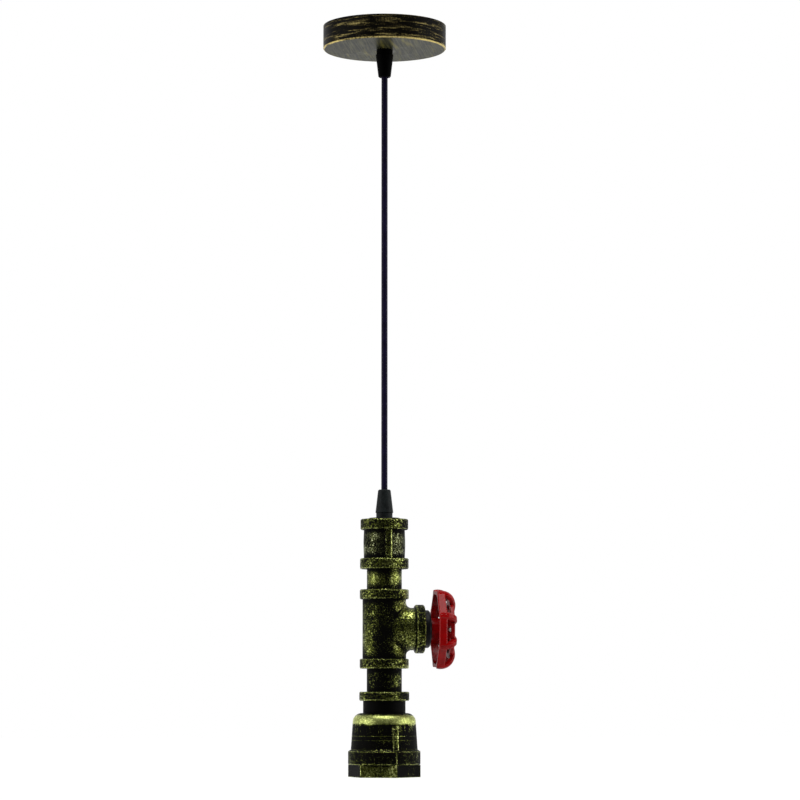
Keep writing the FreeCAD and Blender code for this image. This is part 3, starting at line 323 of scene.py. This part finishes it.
BLACK_PAINT = colour(4, 4, 3)
DULL_BRASS = colour(96, 104, 34)
RUBBED_BRASS = colour(246, 255, 160)
DULL_GREY_BRASS = colour(96, 102, 54)
RUBBED_GREY_BRASS = colour(250, 254, 206)


def fitting_finish(name, coverage, extra=None, edge_wear=0.3, fleck_scale=440, polish=None, greyed=None):
    """Brass rubbed over black.

    coverage lifts the brass, extra adds places where it is heavier or lighter, among them painted light and
    painted shade, polish names those that are rubbed smooth and greyed those where the brass has gone grey.
    """
    material, tree = new_material(name)
    place = object_place(tree)
    grain = noise(tree, place, scale=1000, detail=4, roughness=0.85)
    flecks = noise(tree, stretched(tree, place, scale=(1, 1, 1.4)), fleck_scale, detail=4, roughness=0.75)
    patches = noise(tree, place, scale=70, detail=2, roughness=0.5)
    glints = noise(tree, place, scale=640, detail=3, roughness=0.8)
    # Occlusion keeps brass out of corners and grooves: partly brass missing the hollows, partly painted
    # shade there
    open_share = openness(tree, distance=0.008)
    edge = times(tree, edge_share(tree, radius=0.0014), stepped(tree, open_share, *OPEN_STEP))
    amount = weighted(tree, (grain, 1.2), (flecks, FLECK_WEIGHT), (patches, 0.5), (edge, edge_wear),
                      (open_share, 0.6))
    amount = math_node(tree, "ADD", amount, coverage - PAINT_HOLD)
    if extra is not None:
        amount = math_node(tree, "ADD", amount, extra(tree, place))
    brass = stepped(tree, amount, *BRASS_STEP)
    worn = times(tree, stepped(tree, glints, *GLINT_STEP), stepped(tree, amount, *WORN_STEP))
    relief = math_node(tree, "ADD", grain, times(tree, flecks, FLECK_WEIGHT))
    roughness = ranged(tree, brass, low=0.55, high=0.24)
    if polish is not None:
        smooth = polish(tree, place)
        worn = math_node(tree, "MAXIMUM", worn, times(tree, smooth, POLISH_SHINE))
        relief = times(tree, relief, math_node(tree, "SUBTRACT", 1.0, smooth))
        roughness = math_node(tree, "ADD", roughness, times(tree, smooth, POLISH_ROUGHNESS))
    gold = blend_colour(tree, worn, DULL_BRASS, RUBBED_BRASS)
    if greyed is not None:
        grey_gold = blend_colour(tree, worn, DULL_GREY_BRASS, RUBBED_GREY_BRASS)
        gold = blend_colour(tree, greyed(tree, place), gold, grey_gold)
    base = blend_colour(tree, brass, BLACK_PAINT, gold)
    finish_surface(tree, base, roughness, relief, depth=0.0002, edge=0.0022, Metallic=brass,
                   Specular_IOR_Level=0.03)
    return material


def collar_share(tree, place, lift):
    """Brass added on the collars, in larger spots than on the bodies and by lift all over them."""
    spots = noise(tree, place, scale=430, detail=2)
    spots = times(tree, math_node(tree, "SUBTRACT", spots, 0.5), 0.6)
    share = math_node(tree, "ADD", spots, lift)
    on_collar = stepped(tree, axis_distance(tree, place), COLLAR_RADIUS - COLLAR_STEP, COLLAR_RADIUS)
    return times(tree, on_collar, share)


def painted_shade_by_collars(tree, place, body, low, high, collar):
    """1 on the part of a body that meets the collars at its two ends, where painted shade darkens it."""
    margin = collar + COLLAR_SHADE_REACH
    clear = between(tree, axes_of(tree, place)["Z"], low + margin, high - margin, COLLAR_SHADE_REACH)
    return times(tree, math_node(tree, "SUBTRACT", 1.0, clear), body)


def rib_wear(tree, place, azimuth, half, low, high, left, face=0.28):
    """Wear of a rib on the front half, from low to high.

    It is 1 along the rib's right border, left along its other border and face between the two.
    """
    across, ahead, height = axes_of(tree, stretched(tree, place, (1, 1, 1), turn=-azimuth))
    aside = math_node(tree, "ABSOLUTE", across)
    border = between(tree, aside, half - RIB_BORDER, half + RIB_BORDER / 2, RIB_BORDER)
    side = ranged(tree, stepped(tree, across, -RIB_BORDER / 4, RIB_BORDER / 4), left, 1.0)
    middle = times(tree, stepped(tree, aside, half, half - RIB_BORDER), face)
    wear = math_node(tree, "ADD", times(tree, border, side), middle)
    inside = times(tree, math_node(tree, "GREATER_THAN", height, low),
                   math_node(tree, "LESS_THAN", height, high))
    return times(tree, times(tree, wear, in_front(tree, ahead)), inside)


def crotch_shade_share(tree, place, along):
    """1 in the groove where the branch leaves the tee's body, left of the branch's collar: painted shade
    there.
    """
    from_branch = put(tree, "VectorMath", {0: place, 1: (0, 0, BRANCH_HEIGHT)},
                      operation="SUBTRACT").outputs[0]
    around = about(tree, length_across(tree, from_branch, (0, 1, 1)), NECK_RADIUS, CROTCH_SHADE_ZONE)
    crotch = times(tree, between(tree, along, *TEE_SHADED_CROTCH_BAND), around)
    off_collar = stepped(tree, along, BRANCH_COLLAR_START - 0.001, BRANCH_COLLAR_START - 0.002)
    return times(tree, crotch, off_collar)


def tee_brass_and_painted_light(tree, place):
    """More brass on the branch's neck, and beside it as painted light, less of that below the branch.

    Less of it on the branch's collar, and as painted shade in the crotch, down the front and next to the
    collars.
    """
    along, ahead, height = axes_of(tree, place)
    body = stepped(tree, axis_distance(tree, place), COLLAR_RADIUS, COLLAR_RADIUS - COLLAR_STEP)
    neck = between(tree, along, *TEE_NECK_BAND)
    branch_collar = stepped(tree, along, BRANCH_COLLAR_START, BRANCH_COLLAR_START + 0.001)
    level = about(tree, height, BRANCH_HEIGHT, BRANCH_LEVEL)
    # Painted light: brass heavier beside the branch, less of it below the branch
    beside = math_node(tree, "SUBTRACT", between(tree, along, *TEE_LIT_BESIDE_BAND), level, clamp=True)
    above = stepped(tree, height, BRANCH_HEIGHT - BRANCH_FADE, BRANCH_HEIGHT + BRANCH_FADE)
    beside = times(tree, times(tree, beside, body), ranged(tree, above, low=0.35, high=1.0))
    # Painted shade: less brass next to the collars, in the crotch and down the front of the body
    shaded = painted_shade_by_collars(tree, place, body, TEE_BOTTOM, TEE_TOP, TEE_COLLAR)
    crotch = crotch_shade_share(tree, place, along)
    front = times(tree, times(tree, between(tree, along, *TEE_SHADED_FRONT_BAND), body), in_front(tree, ahead))
    shares = weighted(tree, (neck, 0.09), (branch_collar, -0.07), (beside, 0.14), (shaded, -0.13),
                      (crotch, -0.13), (front, -0.09))
    return math_node(tree, "ADD", shares, collar_share(tree, place, 0.01))


def coupling_body(tree, place):
    """1 on the coupling between its collars, beside its rib."""
    return stepped(tree, axis_distance(tree, place), COUPLING_BODY_RADIUS + 0.0002, COUPLING_BODY_RADIUS)


def coupling_brass_and_painted_shade(tree, place):
    """Brass along the rib, and less of it on the body next to the collars as painted shade."""
    low = COUPLING_BOTTOM + COUPLING_COLLAR
    high = COUPLING_TOP - COUPLING_COLLAR
    borders = rib_wear(tree, place, COUPLING_RIB_AZIMUTH, COUPLING_RIB_HALF, low, high, left=-0.4, face=0.12)
    body = coupling_body(tree, place)
    # Painted shade: less brass on the body next to the collars
    shaded = painted_shade_by_collars(tree, place, body, COUPLING_BOTTOM, COUPLING_TOP, COUPLING_COLLAR)
    shares = weighted(tree, (borders, 0.46), (shaded, -0.24))
    return math_node(tree, "ADD", shares, collar_share(tree, place, -0.04))


def painted_light_on_pipe(tree, place):
    """More brass on the right of the pipe as painted light, less along the middle of its front as painted
    shade.
    """
    along = axes_of(tree, place)["X"]
    right = between(tree, along, *PIPE_LIT_RIGHT_BAND)
    middle = between(tree, along, *PIPE_SHADED_MIDDLE_BAND)
    return weighted(tree, (right, 0.11), (middle, -0.08))


def bell_shoulder(tree, place):
    """How far the round shoulder of the bell is rubbed smooth."""
    zone = about(tree, axes_of(tree, place)["Z"], BELL_SHOULDER, SHOULDER_SMOOTH_ZONE)
    return times(tree, zone, SHOULDER_SMOOTHNESS)


def bell_zones(tree, height):
    """Zones round the bell, each with the brass that it takes."""
    upper_line, lower_line = (BELL_TOP - drop for drop in BELL_LINE_DROPS)
    collar_low = BELL_TOP - BELL_COLLAR_DROP
    neck_low = BELL_TOP - BELL_NECK_DROP
    shoulder = about(tree, height, BELL_SHOULDER, SHOULDER_BRASS_ZONE)
    ring = between(tree, height, BELL_RING_LOW, BELL_RING_TOP, soft=0.0006)
    cone = between(tree, height, BELL_RING_TOP + 0.001, lower_line, soft=0.001)
    collar = between(tree, height, collar_low, BELL_TOP, soft=0.0004)
    neck = between(tree, height, neck_low, collar_low - 0.0005, soft=0.0006)
    upper = about(tree, height, upper_line, LINE_ZONE)
    lower = about(tree, height, lower_line, LINE_ZONE)
    return [(shoulder, 0.52), (ring, 0.10), (cone, 0.04), (collar, 0.16), (neck, -0.16), (upper, 0.24),
            (lower, 0.15)]


def bell_brass_and_painted_light(tree, place):
    """Brass thick at the shoulder, scored lines, rib and foot, kept off the neck; painted highlight at the
    foot's corner.
    """
    along, ahead, height = axes_of(tree, place)
    strokes = streaked(tree, place, scale=(520, 520, 42), detail=4, roughness=0.8)
    strokes = times(tree, stepped(tree, strokes, low=0.48, high=0.66),
                    about(tree, height, BELL_SHOULDER, SHOULDER_STROKES_ZONE))
    # The hexagon's front flat takes brass and its right corner a painted highlight; the flats beside it stay
    # dark as painted shade
    flat = between(tree, along, HEX_LEFT + HEX_MARGIN, HEX_RIGHT - HEX_MARGIN, soft=0.001)
    corner = between(tree, along, HEX_RIGHT - HEX_HIGHLIGHT_CORNER, HEX_RIGHT - HEX_MARGIN, soft=0.003)
    front = times(tree, math_node(tree, "ADD", flat, corner), in_front(tree, ahead))
    foot = times(tree, front, between(tree, height, BELL_BOTTOM, BELL_RING_LOW - HEX_MARGIN, soft=0.0006))
    borders = rib_wear(tree, place, BELL_RIB_AZIMUTH, BELL_RIB_HALF, BELL_RING_TOP, BELL_SHOULDER - 0.008,
                       left=0.4)
    return weighted(tree, (borders, 0.5), (strokes, 0.25), (foot, 0.31), *bell_zones(tree, height))


# Canopy: black steel with brass brushed round its side, a rubbed edge and a grey brushed underside

SIDE_BLACK = colour(6, 5, 3)
SIDE_BRASS = colour(170, 154, 96)
UNDER_DARK = colour(13, 14, 7)
UNDER_LIGHT = colour(76, 76, 50)
UNDER_STAIN = colour(98, 92, 40)
RUBBED_RIM = colour(206, 186, 116)


def canopy_under(tree, turned, scratches):
    """Colour of the brushed underside with its stains."""
    stains = streaked(tree, turned, scale=(120, 14, 1))
    grey = blend_colour(tree, stepped(tree, scratches, low=0.36, high=0.70), UNDER_DARK, UNDER_LIGHT)
    return blend_colour(tree, stepped(tree, stains, low=0.55, high=0.70), grey, UNDER_STAIN)


def canopy_rim(tree, place, height):
    """1 on the lower edge of the side."""
    inner = CANOPY_RADIUS - CANOPY_EDGE
    near_side = stepped(tree, axis_distance(tree, place), inner - RIM_FADE, inner)
    near_floor = between(tree, height, CANOPY_FLOOR - CANOPY_EDGE, CANOPY_FLOOR + CANOPY_EDGE, RIM_FADE)
    return times(tree, near_side, near_floor)


def canopy_finish():
    material, tree = new_material("canopy_finish")
    place = object_place(tree)
    height = axes_of(tree, place)["Z"]
    streaks = streaked(tree, place, scale=(42, 42, 820), detail=6, roughness=0.75, distortion=0.8)
    broad = streaked(tree, place, scale=(16, 16, 190), distortion=1.0)
    grit = noise(tree, place, scale=900)
    brushed = weighted(tree, (streaks, 0.85), (broad, 0.55), (grit, 0.3))
    brass = stepped(tree, brushed, low=0.87, high=1.08)
    side = blend_colour(tree, brass, SIDE_BLACK, SIDE_BRASS)
    turned = stretched(tree, place, scale=(1, 1, 1), turn=13)
    scratches = streaked(tree, turned, scale=(620, 20, 1), detail=4, roughness=0.7)
    underneath = between(tree, height, CANOPY_FLOOR - CANOPY_EDGE, CANOPY_FLOOR + UNDER_REACH, UNDER_FADE)
    base = blend_colour(tree, underneath, side, canopy_under(tree, turned, scratches))
    broken = stepped(tree, math_node(tree, "ADD", broad, grit), low=0.78, high=1.12)
    rubbed = times(tree, canopy_rim(tree, place, height), broken)
    base = blend_colour(tree, rubbed, base, RUBBED_RIM)
    roughness = ranged(tree, streaks, low=0.32, high=0.52)
    metal = ranged(tree, add_up(tree, brass, rubbed, times(tree, underneath, 0.18)), low=0.0, high=0.92)
    relief = weighted(tree, (streaks, 0.6), (scratches, 0.4))
    finish_surface(tree, base, roughness, relief, depth=0.00012, edge=0.0006, Metallic=metal,
                   Specular_IOR_Level=0.04)
    return material


# Wheel: thick glossy red enamel over a casting

DEEP_RED = colour(128, 3, 4)
CLEAR_RED = colour(150, 5, 6)
THIN_RED = colour(176, 34, 32)
SHADED_RED = colour(40, 0, 2)


def red_enamel():
    material, tree = new_material("red_enamel")
    place = object_place(tree)
    cloud = noise(tree, place, scale=70)
    peel = noise(tree, place, scale=420, detail=2, roughness=0.5)
    paint = blend_colour(tree, stepped(tree, cloud, low=0.35, high=0.7), DEEP_RED, CLEAR_RED)
    thin = times(tree, edge_share(tree, radius=0.0014), 0.35)
    paint = blend_colour(tree, thin, paint, THIN_RED)
    # Painted shade: the wheel's hollows and inside darkened towards SHADED_RED
    open_share = stepped(tree, openness(tree, distance=0.02), low=0.30, high=0.85)
    base = blend_colour(tree, open_share, SHADED_RED, paint)
    roughness = ranged(tree, cloud, low=0.26, high=0.36)
    finish_surface(tree, base, roughness, peel, depth=0.00016, edge=0.0004, Coat_Weight=0.3,
                   Coat_Roughness=0.22, Specular_IOR_Level=0.0)
    return material


# Small parts: where in their mottling the darker colour ends and the lighter one is complete

MOTTLE_STEP = (0.3, 0.75)


def moulded(name, dark, light, roughness, grain_scale, depth, reflection=0.5):
    """Moulded plastic: faint mottling and a fine grain."""
    material, tree = new_material(name)
    place = object_place(tree)
    mottle = noise(tree, place, scale=160, detail=4)
    grain = noise(tree, place, grain_scale)
    base = blend_colour(tree, stepped(tree, mottle, *MOTTLE_STEP), colour(*dark), colour(*light))
    rough = ranged(tree, mottle, roughness - 0.06, roughness + 0.08)
    finish_surface(tree, base, rough, grain, depth, edge=0.0004, Specular_IOR_Level=reflection)
    return material


def drawn_metal(name, dark, light, roughness):
    """Plated or bare metal with fine turned lines and a little tarnish."""
    material, tree = new_material(name)
    place = object_place(tree)
    lines = streaked(tree, place, scale=(60, 60, 2200), detail=4, roughness=0.7)
    tarnish = noise(tree, place, scale=120, detail=4, roughness=0.65)
    base = blend_colour(tree, stepped(tree, tarnish, low=0.35, high=0.75), colour(*light), colour(*dark))
    rough = ranged(tree, tarnish, roughness - 0.06, roughness + 0.12)
    finish_surface(tree, base, rough, lines, depth=0.00004, edge=0.0003, Metallic=1.0)
    return material


def flex_sheath():
    """Round black flex: smooth PVC with long faint drawing lines."""
    material, tree = new_material("black_flex")
    place = object_place(tree)
    drawn = streaked(tree, place, scale=(2600, 2600, 18))
    mottle = noise(tree, place, scale=90)
    base = blend_colour(tree, stepped(tree, mottle, *MOTTLE_STEP), colour(10, 6, 26), colour(16, 11, 38))
    rough = ranged(tree, mottle, low=0.34, high=0.46)
    finish_surface(tree, base, rough, drawn, depth=0.00005, Specular_IOR_Level=0.1)
    return material


def earth_sheath():
    """Green core with its yellow stripes wound round it."""
    material, tree = new_material("earth_core")
    place = object_place(tree)
    mottle = noise(tree, place, scale=260)
    wave = put(tree, "TexWave", {"Vector": place, "Scale": 42.0, "Distortion": 0.4},
               bands_direction="DIAGONAL")
    stripes = stepped(tree, wave.outputs[0], low=0.45, high=0.55)
    base = blend_colour(tree, stripes, colour(30, 112, 48), colour(212, 196, 40))
    rough = ranged(tree, mottle, low=0.36, high=0.48)
    finish_surface(tree, base, rough, mottle, depth=0.00003)
    return material


# Finishes, and the one that each node wears

bell_brass = fitting_finish("bell_brass", -0.24, bell_brass_and_painted_light, edge_wear=0.42, polish=bell_shoulder)
tee_brass = fitting_finish("tee_brass", -0.05, tee_brass_and_painted_light, fleck_scale=560)
coupling_brass = fitting_finish("coupling_brass", -0.02, coupling_brass_and_painted_shade, fleck_scale=620,
                                greyed=coupling_body)
upper_pipe_brass = fitting_finish("upper_pipe_brass", -0.02, painted_light_on_pipe, fleck_scale=620)
lower_pipe_brass = fitting_finish("lower_pipe_brass", -0.12)
canopy_steel = canopy_finish()
enamel = red_enamel()
flex_black = flex_sheath()

# Plastics: darker and lighter colour, roughness, scale and depth of the grain, and reflection
nylon = moulded("black_nylon", (14, 17, 17), (28, 33, 33), 0.50, 1500, 0.00005, 0.12)
# The canopy's grips are the same nylon as the lamp's, darkened as painted shade under the canopy
shaded_nylon = moulded("shaded_nylon", (1, 1, 1), (3, 3, 3), 0.60, 1500, 0.00005, 0.02)
bush_plastic = moulded("black_bush", (5, 5, 8), (14, 14, 18), 0.42, 900, 0.00008, 0.12)
phenolic = moulded("black_phenolic", (16, 14, 13), (34, 30, 28), 0.30, 700, 0.00003)
white_plastic = moulded("white_plastic", (214, 212, 202), (232, 230, 222), 0.42, 900, 0.00004)
glazed_core = moulded("glazed_core", (222, 218, 206), (238, 235, 226), 0.16, 400, 0.00003)
core_brown = moulded("live_core", (84, 46, 24), (104, 60, 32), 0.40, 800, 0.00003)
core_blue = moulded("neutral_core", (20, 66, 142), (34, 88, 168), 0.40, 800, 0.00003)
core_earth = earth_sheath()

# Metals: darker and lighter colour, and roughness
zinc = drawn_metal("zinc_plate", (140, 138, 128), (188, 188, 184), 0.34)
brass = drawn_metal("brass", (150, 112, 54), (206, 170, 96), 0.28)

FINISHES = {
    "ceiling_canopy": canopy_steel, "mounting_bracket": zinc, "bracket_earth_screw": brass,
    "ceiling_nipple": zinc, "ceiling_nuts": zinc, "terminal_block": white_plastic,
    "terminal_sleeves": brass, "terminal_screws": zinc, "ceiling_neutral_core": core_blue,
    "ceiling_earth_core": core_earth, "ceiling_live_core": core_brown, "canopy_grip_base": shaded_nylon,
    "canopy_grip_cap": shaded_nylon, "cord_ceiling_tail": flex_black, "cord_neck": flex_black,
    "cord": flex_black, "lamp_grip_cap": nylon, "lamp_grip_base": nylon, "cord_lamp_tail": flex_black,
    "lamp_nipple": zinc, "top_plug": bush_plastic, "lamp_earth_tag": brass, "plug_nut": zinc,
    "coupling": coupling_brass, "upper_pipe": upper_pipe_brass, "tee": tee_brass,
    "lower_pipe": lower_pipe_brass, "reducing_socket": bell_brass, "clamp_washer": zinc,
    "holder_nut": zinc, "holder_plate": zinc, "holder_nipple": zinc, "holder_cap": phenolic,
    "holder_body": phenolic, "holder_core": glazed_core, "holder_screws": brass, "screw_shell": brass,
    "centre_contact": brass, "switch_bush": bush_plastic, "switch_body": phenolic, "switch_nut": zinc,
    "switch_posts": brass, "lamp_live_core": core_brown, "switched_core": core_brown,
    "lamp_neutral_core": core_blue, "lamp_earth_core": core_earth, "handwheel": enamel,
    "spindle": zinc, "wheel_washer": zinc, "wheel_nut": zinc,
}

for name, thing in nodes.items():
    for place in thing.material_slots:
        place.material = FINISHES[name]


# Cord between the grips

def cord_piece():
    line = bpy.data.curves.new("flex", "CURVE")
    line.dimensions = "3D"
    line.bevel_depth = CORD_DIAMETER / 2
    line.bevel_resolution = 8
    line.use_fill_caps = True
    spline = line.splines.new("NURBS")
    heights = (CORD_TOP, (CORD_TOP + CORD_BOTTOM) / 2, CORD_BOTTOM)
    spline.points.add(len(heights) - 1)
    for point, height in zip(spline.points, heights):
        point.co = (0, 0, height, 1)
    spline.order_u = 3
    spline.use_endpoint_u = True
    piece = bpy.data.objects.new("flex", line)
    bpy.context.collection.objects.link(piece)
    line.materials.append(flex_black)
    return piece


flex = cord_piece()
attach(flex, "lamp")
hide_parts("cord")


# Floor, world and lamps

def floor_finish():
    """Matt pale floor with a glow of its own, seen only from above."""
    material, tree = new_material("pale_floor")
    mottle = noise(tree, object_place(tree), scale=3.0, detail=2)
    base = blend_colour(tree, mottle, colour(226, 226, 226), colour(232, 232, 232))
    matt = put(tree, "BsdfDiffuse", {"Color": base})
    rays = put(tree, "LightPath").outputs
    mirrored = math_node(tree, "MAXIMUM", rays["Is Glossy Ray"], rays["Is Transmission Ray"])
    behind_object = stepped(tree, axes_of(tree, object_place(tree))["Y"], *FLOOR_MIRROR_SPAN)
    shown = math_node(tree, "MAXIMUM", rays["Is Camera Ray"], times(tree, mirrored, behind_object))
    glow = put(tree, "Emission", {"Color": (1, 1, 1, 1), "Strength": times(tree, shown, FLOOR_GLOW)})
    lit = put(tree, "AddShader", {0: matt.outputs[0], 1: glow.outputs[0]})
    clear = put(tree, "BsdfTransparent")
    below = put(tree, "NewGeometry").outputs["Backfacing"]
    one_sided = put(tree, "MixShader", {0: below, 1: lit.outputs[0], 2: clear.outputs[0]})
    put(tree, "OutputMaterial", {"Surface": one_sided.outputs[0]})
    return material


def pale_floor():
    mesh = bpy.data.meshes.new("floor")
    half = FLOOR_HALF
    corners = [(-half, -half, FLOOR_HEIGHT), (half, -half, FLOOR_HEIGHT), (half, half, FLOOR_HEIGHT),
               (-half, half, FLOOR_HEIGHT)]
    mesh.from_pydata(corners, [], [(0, 1, 2, 3)])
    floor = bpy.data.objects.new("floor", mesh)
    bpy.context.collection.objects.link(floor)
    mesh.materials.append(floor_finish())


def studio_world():
    world = bpy.data.worlds.new("studio")
    bpy.context.scene.world = world
    world.use_nodes = True
    tree = world.node_tree
    tree.nodes.clear()
    rays = put(tree, "LightPath").outputs
    seen = math_node(tree, "MAXIMUM", rays["Is Camera Ray"], rays["Is Transmission Ray"])
    ahead = axes_of(tree, put(tree, "TexCoord").outputs["Generated"])["Y"]
    backdrop = ranged(tree, ahead, WORLD_FRONT, 1.0, *BACKDROP_SPAN)
    ambient = ranged(tree, ahead, WORLD_FRONT, WORLD_BACK, *AMBIENT_SPAN)
    around = put(tree, "Mix", {0: rays["Is Glossy Ray"], 2: ambient, 3: backdrop}).outputs[0]
    strength = put(tree, "Mix", {0: seen, 2: around, 3: 1.0}).outputs[0]
    sky = put(tree, "Background", {"Color": (1, 1, 1, 1), "Strength": strength})
    put(tree, "OutputWorld", {"Surface": sky.outputs[0]})


def soft_lamp(name, place, target, width, height, power, mirrored):
    """Rectangular lamp; one that isn't mirrored leaves no highlight."""
    data = bpy.data.lights.new(name, "AREA")
    data.shape = "RECTANGLE"
    data.size = width
    data.size_y = height
    data.energy = power
    lamp = bpy.data.objects.new(name, data)
    bpy.context.collection.objects.link(lamp)
    lamp.location = place
    lamp.rotation_euler = (Vector(target) - Vector(place)).to_track_quat("-Z", "Y").to_euler()
    lamp.visible_glossy = mirrored


def studio_camera():
    turn = math.radians(CAMERA_AZIMUTH)
    back = Vector((math.sin(turn), -math.cos(turn), 0))
    right = Vector((math.cos(turn), math.sin(turn), 0))
    data = bpy.data.cameras.new("camera")
    data.lens = CAMERA_LENS
    data.sensor_width = CAMERA_SENSOR
    data.clip_end = CAMERA_REACH
    camera = bpy.data.objects.new("camera", data)
    bpy.context.collection.objects.link(camera)
    tilt = math.radians(CAMERA_TILT)
    ahead = -back * math.cos(tilt) + Vector((0, 0, math.sin(tilt)))
    camera.location = back * CAMERA_DISTANCE + right * CAMERA_SIDE + Vector((0, 0, CAMERA_HEIGHT))
    camera.rotation_mode = "QUATERNION"
    camera.rotation_quaternion = ahead.to_track_quat("-Z", "Y")
    bpy.context.scene.camera = camera


pale_floor()
studio_world()
for name, row in LAMPS.items():
    soft_lamp(name, *row)
studio_camera()
bpy.context.scene.view_settings.view_transform = "Standard"
